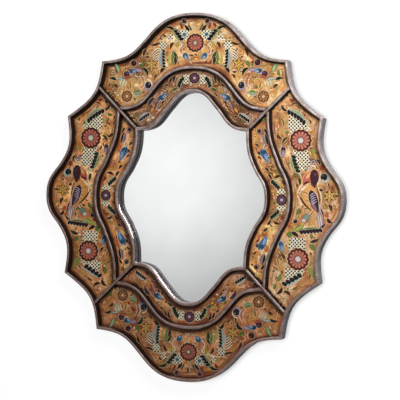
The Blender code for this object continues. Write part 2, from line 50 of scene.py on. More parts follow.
# Sizes, shared with the solids except that the rim's head is narrower here
OPENING_HALF_WIDTH = 0.1765
OPENING_HALF_HEIGHT = 0.2395
INNER_BAND = 0.0515
OUTER_BAND = 0.122
CROWN_RISE = 0.0865
SIDE_BULGE = 0.0455
CORNER_BAND = 0.045
UPPER_EAR_REACH = 0.042
UPPER_EAR_RISE = 0.108
LOWER_EAR_REACH = 0.1245
LOWER_EAR_DROP = 0.018
SCALLOP_UPPER_PULL = 0.072
SCALLOP_LOWER_PULL = 0.080
SCALLOP_UPPER_SLOPE = math.radians(83)
SCALLOP_LOWER_SLOPE = math.radians(34)
APEX_PULL = 0.57
WAIST_PULL_IN = 0.31
WAIST_PULL_OUT = 0.38
END_PULL = 0.53
RAIL_THICKNESS = 0.015
SEAT_GAP = 0.0003
GLASS_THICKNESS = 0.003
GLASS_GAP = 0.0005
MOULDING_WIDTH = 0.008
MOULDING_HEIGHT = 0.0195
SHOULDER_HEIGHT = 0.0155
STEM_WIDTH = 0.004
RIM_WIDTH = 0.0074
RIM_HEIGHT = 0.021
RIM_SHOULDER_HEIGHT = 0.0165
RIM_STEM = 0.006
JOINT_GAP = 0.0003

GLASS_BACK = RAIL_THICKNESS + SEAT_GAP
GLASS_FRONT = GLASS_BACK + GLASS_THICKNESS
LIP_HEIGHT = GLASS_THICKNESS + 2 * SEAT_GAP

# Fineness of the dressed surfaces
CURVE_STEPS = 40
SCALLOP_STEPS = 40
CROWN_STEPS = 14
SWEEP_STATIONS = 110
PANEL_STATIONS = 170
PANEL_ROWS = 38
SMOOTH_ANGLE = 40
PAINT_SMOOTH_ANGLE = 30

# Where leaf, stain and walls part on a moulding, which crown sides take painted shade, and how uneven its
# wood is
PATINA_DROP = 0.0011
WALL_DROP = 0.0024
CROWN_SHADE_TURN = 0.2
RIM_LEAF = 0.0062
FOOT_LINE = 0.0018
WOBBLE = 0.00007
WOBBLE_WAVES = ((210, 95, 0.0), (-130, 260, 1.7), (420, 420, 0.6))


def vec(x, y):
    return np.array((x, y), float)


INNER_TIP = vec(OPENING_HALF_WIDTH - SIDE_BULGE, OPENING_HALF_HEIGHT - CROWN_RISE)
MITRE_RISE = INNER_TIP[1] - INNER_TIP[0]
MID_TIP = INNER_TIP + CORNER_BAND
UPPER_EAR = MID_TIP + vec(UPPER_EAR_REACH, UPPER_EAR_RISE)
LOWER_EAR = MID_TIP + vec(LOWER_EAR_REACH, -LOWER_EAR_DROP)


# Curves of the design: a line is its points and its unit tangents

def bezier(start, start_handle, end_handle, end, steps):
    t = np.linspace(0, 1, steps + 1)[:, None]
    near = start + (start_handle - start) * t
    middle = start_handle + (end_handle - start_handle) * t
    far = end_handle + (end - end_handle) * t
    before = near + (middle - near) * t
    after = middle + (far - middle) * t
    way = after - before
    return before + way * t, way / np.linalg.norm(way, axis=1)[:, None]


def unit(angle):
    return vec(math.cos(angle), math.sin(angle))


def slope_vector(angle):
    """The direction that runs on and falls by an angle."""
    return unit(-angle)


def left_of(ways):
    """The directions a quarter turn to the left of the given ones."""
    return np.stack((-ways[:, 1], ways[:, 0]), axis=1)


def mirrored(line):
    points, ways = line
    return points[::-1] * (-1, 1), ways[::-1] * (1, -1)


def ogee_line(apex_out, end, waist_along, waist_drop, waist_slope, end_slope):
    """A whole ogee, from its left end over the apex to its right end."""
    apex = vec(0.0, apex_out)
    waist = vec(waist_along * end[0], apex_out - waist_drop * (apex_out - end[1]))
    waist_way = slope_vector(math.radians(waist_slope))
    end_way = slope_vector(math.radians(end_slope))
    first = np.linalg.norm(waist - apex)
    second = np.linalg.norm(end - waist)
    crown = bezier(apex, apex + vec(APEX_PULL * waist[0], 0), waist - waist_way * (WAIST_PULL_IN * first),
                   waist, CURVE_STEPS)
    flank = bezier(waist, waist + waist_way * (WAIST_PULL_OUT * second),
                   end - end_way * (END_PULL * second), end, CURVE_STEPS)
    points = np.vstack((crown[0], flank[0][1:]))
    ways = np.vstack((crown[1], flank[1][1:]))
    left = mirrored((points[1:], ways[1:]))
    return np.vstack((left[0], points)), np.vstack((left[1], ways))


def upper_scallop():
    """The hollow between the ears of the upper right corner."""
    leave = slope_vector(SCALLOP_UPPER_SLOPE)
    arrive = slope_vector(SCALLOP_LOWER_SLOPE)
    return bezier(UPPER_EAR, UPPER_EAR + leave * SCALLOP_UPPER_PULL,
                  LOWER_EAR - arrive * SCALLOP_LOWER_PULL, LOWER_EAR, SCALLOP_STEPS)


def side_scallop():
    """The same hollow drawn from a left or right side."""
    points, ways = upper_scallop()
    return points[::-1, ::-1], -ways[::-1, ::-1]


def offset(line, distance):
    points, ways = line
    return points + left_of(ways) * distance


def extended(line, length):
    """The line with a straight run added at each end."""
    points, ways = line
    return (np.vstack((points[:1] - ways[:1] * length, points, points[-1:] + ways[-1:] * length)),
            np.vstack((ways[:1], ways, ways[-1:])))


def trimmed(points, depths):
    """The stretch of a line where depths is positive, cut to length at its ends."""
    kept = []
    for i in range(len(points) - 1):
        if depths[i] >= 0:
            kept.append(points[i])
        if (depths[i] < 0) != (depths[i + 1] < 0):
            kept.append(points[i] + (points[i + 1] - points[i]) * depths[i] / (depths[i] - depths[i + 1]))
    if depths[-1] >= 0:
        kept.append(points[-1])
    return np.array(kept)


def resampled(points, shares):
    """Points at the given shares of a line's length."""
    steps = np.linalg.norm(np.diff(points, axis=0), axis=1)
    run = np.concatenate(((0.0,), np.cumsum(steps)))
    at = shares * run[-1]
    return np.stack((np.interp(at, run, points[:, 0]), np.interp(at, run, points[:, 1])), axis=1)


class Side:
    """One pair of sides, drawn as (along, out)."""

    def __init__(self, names, outer, mid, inner, scallop, rise):
        self.names = names
        self.outer = outer
        self.mid = mid
        self.inner = inner
        self.scallop = scallop
        self.rise = rise
        ogee_way = outer[1][-1]
        inwards = scallop[1][0] - ogee_way
        inwards /= np.linalg.norm(inwards)
        across = vec(inwards[1], -inwards[0])
        self.tip = scallop[0][0]
        self.across = -across if across @ ogee_way > 0 else across

    def ear_depth(self, points):
        """Distance from the ear's mitre, positive on the ogee's side."""
        return (np.abs(points) * (1, 0) + points * (0, 1) - self.tip) @ self.across

    def within_mitres(self, points, margin):
        depths = (points[:, 1] - np.abs(points[:, 0]) - self.rise) / math.sqrt(2) - margin
        return trimmed(points, depths)

    def outer_chain(self, distance):
        """The outline over this side and into both hollows."""
        ogee = offset(self.outer, distance)
        ogee = trimmed(ogee, self.ear_depth(ogee))
        hollow = offset(self.scallop, distance)
        hollow = trimmed(hollow, -self.ear_depth(hollow))[1:]
        return np.vstack((hollow[::-1] * (-1, 1), ogee, hollow))


# Each ogee's last numbers are its waist's place along and down and the slopes of waist and end in degrees
HALF_WIDTH = OPENING_HALF_WIDTH + INNER_BAND + OUTER_BAND
HALF_HEIGHT = OPENING_HALF_HEIGHT + INNER_BAND + OUTER_BAND
UPRIGHT = Side(
    ("top", "bottom"),
    ogee_line(HALF_HEIGHT, UPPER_EAR, 0.532, 0.55, 48, 3),
    ogee_line(OPENING_HALF_HEIGHT + INNER_BAND, MID_TIP, 0.52, 0.50, 51, 0),
    ogee_line(OPENING_HALF_HEIGHT, INNER_TIP, 0.44, 0.43, 47, 0),
    upper_scallop(), MITRE_RISE)
SIDEWAYS = Side(
    ("left", "right"),
    ogee_line(HALF_WIDTH, LOWER_EAR[::-1], 0.405, 0.68, 34, -10),
    ogee_line(OPENING_HALF_WIDTH + INNER_BAND, MID_TIP[::-1], 0.41, 0.50, 22, 0),
    ogee_line(OPENING_HALF_WIDTH, INNER_TIP[::-1], 0.425, 0.56, 26, 0),
    side_scallop(), -MITRE_RISE)

# How (along, out) turns into the frame's (x, z) on each side
TURN = {
    "top": np.array(((1, 0), (0, 1))),
    "right": np.array(((0, 1), (-1, 0))),
    "bottom": np.array(((-1, 0), (0, -1))),
    "left": np.array(((0, -1), (1, 0))),
}


# Meshes

def new_object(name, verts, faces, material, colours=None, smooth_angle=SMOOTH_ANGLE):
    mesh = bpy.data.meshes.new(name)
    mesh.from_pydata(verts, [], faces)
    mesh.shade_smooth()
    mesh.set_sharp_from_angle(angle=math.radians(smooth_angle))
    mesh.materials.append(material)
    if colours is not None:
        layer = mesh.attributes.new("paint", "FLOAT_COLOR", "POINT")
        rgba = np.ones((len(verts), 4), np.float32)
        rgba[:, :3] = colours
        layer.data.foreach_set("color", rgba.ravel())
    mesh.validate()
    piece = bpy.data.objects.new(name, mesh)
    bpy.context.scene.collection.objects.link(piece)
    return piece


def dress(piece, slot, *nodes):
    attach(piece, "frame")
    if nodes:
        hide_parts(*nodes)
    return piece


def stood(points, height):
    """Flat points as corners in space, at a height above the frame's back."""
    depth = np.full(len(points), -1.0) * height
    return np.stack((points[:, 0], depth, points[:, 1]), axis=1)


def moulding_profile(head_in, head_out, stem_in, stem_out, shoulder, height):
    """A moulding's section as (out, height): stem, lips over the glass, shoulders and a round top."""
    middle = (head_in + head_out) / 2
    half = (head_out - head_in) / 2
    turns = np.linspace(0, math.pi, CROWN_STEPS + 1)
    top = [(middle + half * math.cos(a), shoulder + (height - shoulder) * math.sin(a)) for a in turns]
    right = [(stem_out, 0.0)]
    if stem_out < head_out:
        right += [(stem_out, LIP_HEIGHT), (head_out, LIP_HEIGHT)]
    left = [(stem_in, 0.0)]
    if stem_in > head_in:
        left += [(stem_in, LIP_HEIGHT), (head_in, LIP_HEIGHT)]
    else:
        left += [(stem_in, FOOT_LINE)]
    return right + top + left[::-1]


def wobble(points, height):
    """The slight unevenness of hand-shaped wood, as a lift along the height."""
    x, z = points[:, 0], points[:, 1]
    wave = sum(np.sin(x * a + z * b + shift) for a, b, shift in WOBBLE_WAVES)
    return height - WOBBLE * (wave + len(WOBBLE_WAVES))


def swept(name, profile, lines, turn, dark_sides):
    """A moulding whose profile points each run along a line of their own, with its finishes."""
    count = len(profile)
    shares = np.linspace(0, 1, SWEEP_STATIONS)
    verts = []
    for (_, height), line in zip(profile, lines):
        points = resampled(line, shares) @ turn.T
        lift = wobble(points, GLASS_BACK + height) if height > LIP_HEIGHT else GLASS_BACK + height
        verts.append(stood(points, lift))
    verts = np.vstack(verts)
    faces = []
    for row in range(count):
        a = row * SWEEP_STATIONS
        b = (row + 1) % count * SWEEP_STATIONS
        for i in range(SWEEP_STATIONS - 1):
            faces.append((a + i, b + i, b + i + 1, a + i + 1))
    starts = [row * SWEEP_STATIONS for row in range(count)]
    faces.append(starts[::-1])
    faces.append([start + SWEEP_STATIONS - 1 for start in starts])
    piece = new_object(name, verts.tolist(), faces, SILVER_LEAF)
    outwards(piece.data)
    is_rim = profile is RIM_PROFILE
    piece.data.materials.append(STAIN_AND_SHADE)
    piece.data.materials.append(EDGE_GREY if is_rim else PEWTER)
    shades = [finish_of(profile, row, dark_sides) for row in range(count)]
    shades = np.repeat(shades, SWEEP_STATIONS - 1).tolist() + [0, 0]
    piece.data.polygons.foreach_set("material_index", shades)
    # Crown sides turned right and, in the upper half, turned down keep the dark finish as painted shade; the
    # others become leaf
    shoulder = RIM_SHOULDER_HEIGHT if is_rim else SHOULDER_HEIGHT
    for face in piece.data.polygons:
        on_crown = -face.center.y > GLASS_BACK + shoulder
        if face.material_index == 1 and on_crown and not in_painted_shade(face):
            face.material_index = 0
    return piece


def in_painted_shade(face):
    """Whether a crown's side takes painted shade: those turned right and, in the upper half, those turned
    down.
    """
    return face.normal.x > CROWN_SHADE_TURN or (face.normal.z < -CROWN_SHADE_TURN and face.center.z > 0)


def finish_of(profile, row, dark_sides):
    """The finish of a section's strip: 0 is leaf on top, 1 stained flanks with painted shade, 2 walls on the
    other sides.
    """
    (out, height), (next_out, next_height) = profile[row], profile[(row + 1) % len(profile)]
    outs = [point[0] for point in profile]
    middle = (min(outs) + max(outs)) / 2
    side = 1 if (out + next_out) / 2 > middle else -1
    top = max(point[1] for point in profile)
    if profile is RIM_PROFILE and min(height, next_height) >= RIM_SHOULDER_HEIGHT:
        return 0 if (out + next_out) / 2 > -RIM_LEAF else 1
    drop = PATINA_DROP if side in dark_sides else WALL_DROP
    if (height + next_height) / 2 > top - drop:
        return 0
    at_foot = max(height, next_height) <= FOOT_LINE
    return 1 if side in dark_sides or at_foot else 2


def outwards(mesh):
    body = bmesh.new()
    body.from_mesh(mesh)
    bmesh.ops.recalc_face_normals(body, faces=body.faces)
    body.to_mesh(mesh)
    body.free()


# Materials

def srgb(red, green, blue):
    """A colour as seen, 0 to 255, in linear light."""
    values = np.array((red, green, blue)) / 255
    return np.where(values <= 0.04045, values / 12.92, ((values + 0.055) / 1.055) ** 2.4)


class Nodes:
    """Shorthand for building the nodes of a material or a world."""

    def __init__(self, name, family=None):
        family = bpy.data.materials if family is None else family
        self.made = family.new(name)
        self.made.use_nodes = True
        self.tree = self.made.node_tree
        self.shader = self.tree.nodes.get("Principled BSDF")

    def add(self, kind, inputs=(), **settings):
        node = self.tree.nodes.new("ShaderNode" + kind)
        for key, value in settings.items():
            setattr(node, key, value)
        for key, value in dict(inputs).items():
            if isinstance(value, bpy.types.NodeSocket):
                self.tree.links.new(value, node.inputs[key])
            else:
                node.inputs[key].default_value = value
        return node

    def coords(self):
        return self.add("TexCoord").outputs["Object"]

    def noise(self, scale, detail=3.0, roughness=0.55, vector=None):
        node = self.add("TexNoise", {"Scale": scale, "Detail": detail, "Roughness": roughness,
                                     "Vector": vector or self.coords()})
        return node.outputs["Fac"]

    def ramp(self, value, *stops):
        node = self.add("ValToRGB", {"Fac": value})
        elements = node.color_ramp.elements
        while len(elements) < len(stops):
            elements.new(0.5)
        for element, (place, colour) in zip(elements, stops):
            element.position = place
            element.color = (*colour, 1.0)
        return node.outputs["Color"]

    def tones(self, value, *stops):
        """A ramp whose stops are given as place, red, green and blue as seen."""
        return self.ramp(value, *[(place, srgb(*colour)) for place, *colour in stops])

    def grey_ramp(self, value, *stops):
        return self.ramp(value, *[(place, (level, level, level)) for place, level in stops])

    def mix(self, factor, first, second, blend="MIX"):
        node = self.add("Mix", data_type="RGBA", blend_type=blend)
        sockets = [s for s in node.inputs if s.enabled]
        for socket, value in zip(sockets, (factor, first, second)):
            if isinstance(value, bpy.types.NodeSocket):
                self.tree.links.new(value, socket)
            elif isinstance(value, (int, float)):
                socket.default_value = value
            else:
                socket.default_value = (*value, 1.0)
        return [s for s in node.outputs if s.enabled][0]

    def math(self, operation, first, second=0.0):
        return self.add("Math", {0: first, 1: second}, operation=operation).outputs[0]

    def spread(self, value, low, high, least, most, kind="LINEAR"):
        """A value's run from low to high as one from least to most."""
        ends = {"From Min": low, "From Max": high, "To Min": least, "To Max": most}
        node = self.add("MapRange", {"Value": value, **ends}, interpolation_type=kind)
        return node.outputs["Result"]

    def fade(self, value, low, high, least=0.0, most=1.0):
        return self.spread(value, low, high, least, most, "SMOOTHSTEP")

    def largest(self, first, *others):
        for other in others:
            first = self.math("MAXIMUM", first, other)
        return first

    def toward(self, vector, way):
        node = self.add("VectorMath", {0: vector, 1: way}, operation="DOT_PRODUCT")
        return node.outputs["Value"]

    def parts(self, vector):
        return self.add("SeparateXYZ", {"Vector": vector}).outputs

    def facing(self):
        return self.parts(self.add("NewGeometry").outputs["Normal"])

    def paint(self):
        """The colour that comes with the mesh."""
        return self.add("Attribute", attribute_name="paint").outputs["Color"]

    def either(self, factor, first, second):
        """The first shader where the factor is 0, the second where it is 1."""
        return self.add("MixShader", {0: factor, 1: first, 2: second}).outputs[0]

    def bump(self, height, strength, distance):
        node = self.add("Bump", {"Height": height, "Strength": strength, "Distance": distance})
        self.link("Normal", node.outputs["Normal"])

    def link(self, name, socket):
        self.tree.links.new(socket, self.shader.inputs[name])

    def set(self, **values):
        for key, value in values.items():
            self.shader.inputs[key.replace("_", " ")].default_value = value


# The leaf darkens towards the lower left: painted shade away from the light at the upper right
LEAF_SHADE_WAY = (-0.8, 0.0, -1.2)
LEAF_SHADE_REACH = (-0.45, 0.35)
LEAF_SHADE_MOST = 0.62
OPENING_REACH = (0.205, 1.0, 0.285)
GRAIN_SCALE = (60.0, 60.0, 9.0)
# How the flanks' black painted shade fades in by the way they face, and the height above which those turned
# down take it
FLANK_SHADE_FADE = (0.05, 0.35)
FLANK_SHADE_LEVEL = 0.02


def silver_leaf():
    """Silver leaf in patches, worn to the brown below, and darkened towards the lower left as painted shade.
    """
    n = Nodes("silver_leaf")
    n.set(Metallic=0.45, Specular_IOR_Level=0.3)
    patches = n.noise(70.0, 4.0)
    leaf = n.tones(patches, (0.30, 134, 116, 110), (0.52, 174, 156, 150), (0.72, 206, 195, 191))
    # Painted shade: the leaf turns brown towards the lower left
    painted_shade = n.spread(n.toward(n.coords(), LEAF_SHADE_WAY), *LEAF_SHADE_REACH, 0.0, LEAF_SHADE_MOST)
    leaf = n.mix(painted_shade, leaf, srgb(112, 78, 66))
    worn = n.grey_ramp(n.noise(260.0, 5.0, 0.65), (0.54, 0.0), (0.68, 1.0))
    n.link("Base Color", n.mix(worn, leaf, srgb(84, 58, 50)))
    n.link("Roughness", n.grey_ramp(n.noise(140.0, 3.0), (0.3, 0.40), (0.7, 0.62)))
    n.bump(n.noise(420.0, 4.0), 0.25, 0.0004)
    return n.made


def painted_glass():
    """Oil colours behind clear glass: the colour comes with the mesh, the gloss from the glass."""
    n = Nodes("painted_glass")
    n.set(Roughness=0.5, Coat_Weight=0.25, Coat_Roughness=0.06, Specular_IOR_Level=0.15)
    brush = n.grey_ramp(n.noise(330.0, 4.0, 0.6), (0.25, 0.78), (0.75, 1.14))
    n.link("Base Color", n.mix(1.0, n.paint(), brush, "MULTIPLY"))
    n.bump(n.noise(700.0, 2.0), 0.08, 0.0002)
    return n.made


def gold_ground():
    """The ground behind the flowers: amber with orange and pale passages, darker where the mesh says, which
    carries painted shadow and shade near the edges.
    """
    n = Nodes("gold_ground")
    n.set(Roughness=0.5, Coat_Weight=0.25, Coat_Roughness=0.05, Specular_IOR_Level=0.15)
    amber = n.tones(n.noise(42.0, 3.0), (0.30, 188, 106, 54), (0.48, 221, 160, 96), (0.68, 245, 207, 148))
    streaks = n.grey_ramp(n.noise(120.0, 5.0, 0.65), (0.30, 0.38), (0.48, 0.92), (0.66, 1.20))
    n.link("Base Color", n.mix(1.0, n.mix(1.0, amber, streaks, "MULTIPLY"), n.paint(), "MULTIPLY"))
    n.bump(n.noise(500.0, 3.0), 0.06, 0.0002)
    return n.made


def frame_wood():
    """Dark stained wood behind, dull grey on the edges beside the mouldings, and near black in the opening as
    painted shade in the gap round the mirror.
    """
    n = Nodes("frame_wood")
    grain_way = n.add("Mapping", {"Vector": n.coords(), "Scale": GRAIN_SCALE})
    grain = n.noise(6.0, 5.0, 0.6, grain_way.outputs["Vector"])
    wood = n.tones(grain, (0.30, 58, 36, 26), (0.55, 92, 60, 42), (0.75, 120, 84, 60))
    leaf = n.tones(n.noise(120.0, 4.0), (0.30, 88, 84, 88), (0.70, 126, 122, 126))
    # Near black within the opening: painted shade in the gap beside the mirror
    inwards = n.add("VectorMath", {0: n.coords(), 1: OPENING_REACH}, operation="DIVIDE")
    reach = n.add("VectorMath", {0: inwards.outputs[0]}, operation="LENGTH").outputs["Value"]
    leaf = n.mix(n.math("LESS_THAN", reach, 1.0), leaf, srgb(24, 20, 22))
    behind = n.math("GREATER_THAN", n.facing()["Y"], 0.5)
    n.link("Base Color", n.mix(behind, leaf, wood))
    n.link("Roughness", n.grey_ramp(grain, (0.3, 0.55), (0.7, 0.75)))
    n.set(Specular_IOR_Level=0.1)
    n.bump(grain, 0.2, 0.0005)
    return n.made


def hardboard():
    n = Nodes("hardboard")
    fibres = n.noise(420.0, 5.0, 0.7)
    n.link("Base Color", n.tones(fibres, (0.3, 112, 78, 52), (0.55, 138, 100, 70), (0.75, 160, 122, 88)))
    n.set(Roughness=0.8)
    n.bump(fibres, 0.3, 0.0004)
    return n.made


def stain_and_shade():
    """Stain on the flanks, brown, with black painted shade where they turn right and, in the upper half,
    down.
    """
    n = Nodes("stain_and_shade")
    grain = n.noise(150.0, 4.0)
    black = n.tones(grain, (0.35, 14, 9, 8), (0.70, 36, 24, 20))
    brown = n.tones(grain, (0.35, 84, 58, 48), (0.70, 122, 90, 76))
    # Black is painted shade on faces turned right and, in the upper half, turned down; brown is the stain
    facing = n.facing()
    low, high = FLANK_SHADE_FADE
    right = n.fade(facing["X"], low, high)
    down = n.fade(facing["Z"], -low, -high)
    upper = n.fade(n.parts(n.coords())["Z"], -FLANK_SHADE_LEVEL, FLANK_SHADE_LEVEL)
    n.link("Base Color", n.mix(n.largest(right, n.math("MULTIPLY", down, upper)), brown, black))
    n.set(Roughness=0.6, Specular_IOR_Level=0.15)
    return n.made


def speckled(name, scale, dark, light, gloss=None, detail=4.0, reach=(0.30, 0.70), **values):
    """A finish of two near tones; gloss is the scale of its dull and bright spots and their roughness."""
    n = Nodes(name)
    n.set(**values)
    low, high = reach
    n.link("Base Color", n.tones(n.noise(scale, detail), (low, *dark), (high, *light)))
    if gloss:
        spots, least, most = gloss
        n.link("Roughness", n.grey_ramp(n.noise(spots, 3.0), (0.3, least), (0.7, most)))
    return n.made


def plated_steel(name, dark, light):
    return speckled(name, 300.0, dark, light, (500.0, 0.25, 0.45), reach=(0.35, 0.65), Metallic=1.0)


SILVER_LEAF = silver_leaf()
# Brown stain with black painted shade on the mouldings' flanks
STAIN_AND_SHADE = stain_and_shade()
# Bright walls round the opening and dull ones at the outer edge
PEWTER = speckled("pewter", 110.0, (190, 180, 182), (212, 204, 206), (160.0, 0.10, 0.22), Metallic=1.0)
EDGE_GREY = speckled("edge_grey", 110.0, (98, 94, 98), (134, 128, 132), Specular_IOR_Level=0.1, Roughness=0.7)
GROUND = gold_ground()
PAINT = painted_glass()
CAD_MATERIALS = {
    "rail_": frame_wood(),
    "mirror_glass": speckled("silvered_mirror", 9.0, (236, 238, 238), (244, 245, 245), (40.0, 0.012, 0.03),
                             detail=2.0, Metallic=1.0),
    "back_board": hardboard(),
    "board_screw_": plated_steel("screw_steel", (150, 140, 116), (196, 186, 160)),
    "hanger_": plated_steel("zinc_plate", (168, 170, 172), (206, 208, 210)),
}
CAD_MATERIALS["hanger_screw_"] = CAD_MATERIALS["board_screw_"]
CAD_MATERIALS["d_ring_"] = CAD_MATERIALS["hanger_"]
for node_name, node in NODES.items():
    for prefix, material in CAD_MATERIALS.items():
        if node_name.startswith(prefix):
            node.data.materials.clear()
            node.data.materials.append(material)


# Mouldings

END_RUN = 0.012
MITRE_START_GAP = 0.0002
HALF = MOULDING_WIDTH / 2
STEM = STEM_WIDTH / 2
MID_PROFILE = moulding_profile(-HALF, HALF, -STEM, STEM, SHOULDER_HEIGHT, MOULDING_HEIGHT)
INNER_PROFILE = moulding_profile(-HALF, HALF, -HALF, STEM, SHOULDER_HEIGHT, MOULDING_HEIGHT)
RIM_PROFILE = moulding_profile(-RIM_WIDTH, 0.0, -RIM_STEM, 0.0, RIM_SHOULDER_HEIGHT, RIM_HEIGHT)


def profile_lines(profile, line, trim):
    """The line of each profile point, cut at the mitres."""
    long_line = extended(line, END_RUN)
    return [trim(offset(long_line, out)) for out, _ in profile]


def add_side_mouldings(side):
    """The mouldings of a pair of sides; -1 and 1 name the inward and outward flanks that are stained and
    carry painted shade.
    """
    rows = {
        "mid_moulding_": (MID_PROFILE, side.mid, (-1, 1), lambda p: side.within_mitres(p, HALF + JOINT_GAP)),
        "inner_moulding_": (INNER_PROFILE, side.inner, (1,), lambda p: side.within_mitres(p, JOINT_GAP / 2)),
        "rim_": (RIM_PROFILE, side.outer, (-1,), lambda p: trimmed(p, side.ear_depth(p) - JOINT_GAP / 2)),
    }
    for prefix, (profile, line, dark_sides, trim) in rows.items():
        lines = profile_lines(profile, line, trim)
        for name in side.names:
            piece = swept("leafed_" + prefix + name, profile, lines, TURN[name], dark_sides)
            dress(piece, "silver_leaf", prefix + name)


def corner_flips():
    """Each corner's name with the flip that carries the upper right corner there."""
    for level, up in (("top", 1), ("bottom", -1)):
        for hand, right in (("left", -1), ("right", 1)):
            yield level + "_" + hand, np.diag((right, up))


def add_corner_mouldings():
    """The rims of the hollow corners, and the straight mouldings that run from the mitres up to them."""
    def hollow_trim(points):
        upper = UPRIGHT.ear_depth(points)
        lower = SIDEWAYS.ear_depth(points[:, ::-1])
        return trimmed(points, np.minimum(-upper, -lower) - JOINT_GAP / 2)

    hollow_lines = profile_lines(RIM_PROFILE, upper_scallop(), hollow_trim)
    along = vec(1, 1) / math.sqrt(2)
    across = vec(-1, 1) / math.sqrt(2)
    inner_edge = offset(upper_scallop(), -RIM_WIDTH)
    rise = inner_edge[:, 1] - inner_edge[:, 0] - MITRE_RISE
    at = int(np.argmax(rise < 0))
    before = at - 1
    rim_way = inner_edge[at] - inner_edge[before]
    meet = inner_edge[before] + rim_way * rise[before] / (rise[before] - rise[at])
    out = vec(-rim_way[1], rim_way[0]) / np.linalg.norm(rim_way)
    reach = (meet - INNER_TIP) @ out - JOINT_GAP
    mitre_lines = []
    for side_step, _ in MID_PROFILE:
        start = math.sqrt(2) * (HALF + JOINT_GAP) - abs(side_step) + MITRE_START_GAP
        end = (reach - side_step * (across @ out)) / (along @ out)
        mitre_lines.append(np.array([INNER_TIP + across * side_step + along * s for s in (start, end)]))
    for name, flip in corner_flips():
        rim = swept("leafed_rim_scallop_" + name, RIM_PROFILE, hollow_lines, flip, (-1,))
        dress(rim, "silver_leaf", "rim_scallop_" + name)
        mitre = swept("leafed_mitre_" + name, MID_PROFILE, mitre_lines, flip, (-1, 1))
        dress(mitre, "silver_leaf", "mitre_moulding_" + name)


for pair in (UPRIGHT, SIDEWAYS):
    add_side_mouldings(pair)
add_corner_mouldings()


# Glass panels with the painted ground

# Dark bands at the panels' edges: a thin line all round, wider below the upper left mouldings as painted
# shadow and, further right, beside the mouldings' right flanks as painted shade
BORDER = 0.0016
UNDER_SHADOW = 0.0022
RIGHT_SHADE = 0.0010
BORDER_FADE = 0.0012
UNDER_SHADOW_PANELS = ("outer_top", "outer_left")
BORDER_TURN = (0.2, 0.9)
UPPER_FADE = (-0.15, 0.20)
LEFT_FADE = (0.0, 0.12)
RIGHT_FADE = (-0.30, 0.15)
EDGE_LINE_AND_SHADOW_TONE = np.array((0.014, 0.010, 0.009))

# Painted shade inside the dark bands, narrower towards the right where the light falls
EDGE_SHADE = 0.009
BRIGHT_FADE = (0.0, 0.25)
BRIGHT_SIDE = 0.7
EDGE_TONE = np.array((0.34, 0.24, 0.22))

# Passages rubbed into the ground
SMUDGES = 60
SMUDGE_SIZES = (0.006, 0.016)
SMUDGE_DEPTHS = (-0.5, -0.35, 0.2, 0.35)
SMUDGE_LIMITS = (0.3, 1.5)
SMUDGE_TINT = (1.0, 1.30, 1.45)

# Each panel's tone, how wide its shaded edge is, and the power and level of its strokes' tones, partly the
# paint's own colour and partly painted shade that darkens the lower and left panels and the inner top one
PANEL_LOOKS = {
    "outer_top": ((1.05, 1.09, 1.15), 1.15, 1.05, 1.0),
    "outer_right": ((0.85, 0.80, 0.88), 1.0, 0.97, 1.0),
    "outer_bottom": ((0.78, 0.57, 0.60), 1.7, 1.12, 0.80),
    "outer_left": ((1.06, 0.89, 0.87), 1.2, 1.20, 1.0),
    "inner_top": ((0.43, 0.40, 0.60), 1.0, 1.10, 0.95),
    "inner_right": ((1.09, 1.04, 0.90), 1.0, 1.05, 1.0),
    "inner_bottom": ((0.69, 0.56, 0.68), 1.0, 1.12, 0.86),
    "inner_left": ((1.10, 0.90, 0.81), 1.0, 1.15, 1.0),
}


def edge_distance(points, outline):
    """Each point's distance from a closed outline, and the way from the nearest edge."""
    runs = np.roll(outline, -1, axis=0) - outline
    squares = np.maximum((runs ** 2).sum(1), 1e-12)
    best = np.full(len(points), 1.0)
    ways = np.zeros((len(points), 2))
    for corner, run, square in zip(outline, runs, squares):
        share = np.clip(((points - corner) @ run) / square, 0, 1)
        gap = points - corner - share[:, None] * run
        distance = np.linalg.norm(gap, axis=1)
        nearer = distance < best
        best[nearer] = distance[nearer]
        ways[nearer] = gap[nearer] / np.maximum(distance[nearer], 1e-9)[:, None]
    return best, ways


def smooth(value, low, high):
    t = np.clip((value - low) / (high - low), 0, 1)
    return t * t * (3 - 2 * t)


def random_spot(points):
    """A spot anywhere in the box round the points."""
    low, high = points.min(0), points.max(0)
    return vec(rng.uniform(low[0], high[0]), rng.uniform(low[1], high[1]))


def smudges(points):
    """Brown and pale passages rubbed into the ground, as a factor at each point."""
    factor = np.ones(len(points))
    for _ in range(SMUDGES):
        spot = random_spot(points)
        size = rng.uniform(*SMUDGE_SIZES)
        depth = rng.choice(SMUDGE_DEPTHS)
        factor *= 1 + depth * np.exp(-((points - spot) ** 2).sum(1) / (2 * size ** 2))
    return np.clip(factor, *SMUDGE_LIMITS)


def panel_outline(far_edge, near_edge, turn):
    return np.vstack((far_edge, near_edge[::-1])) @ turn.T


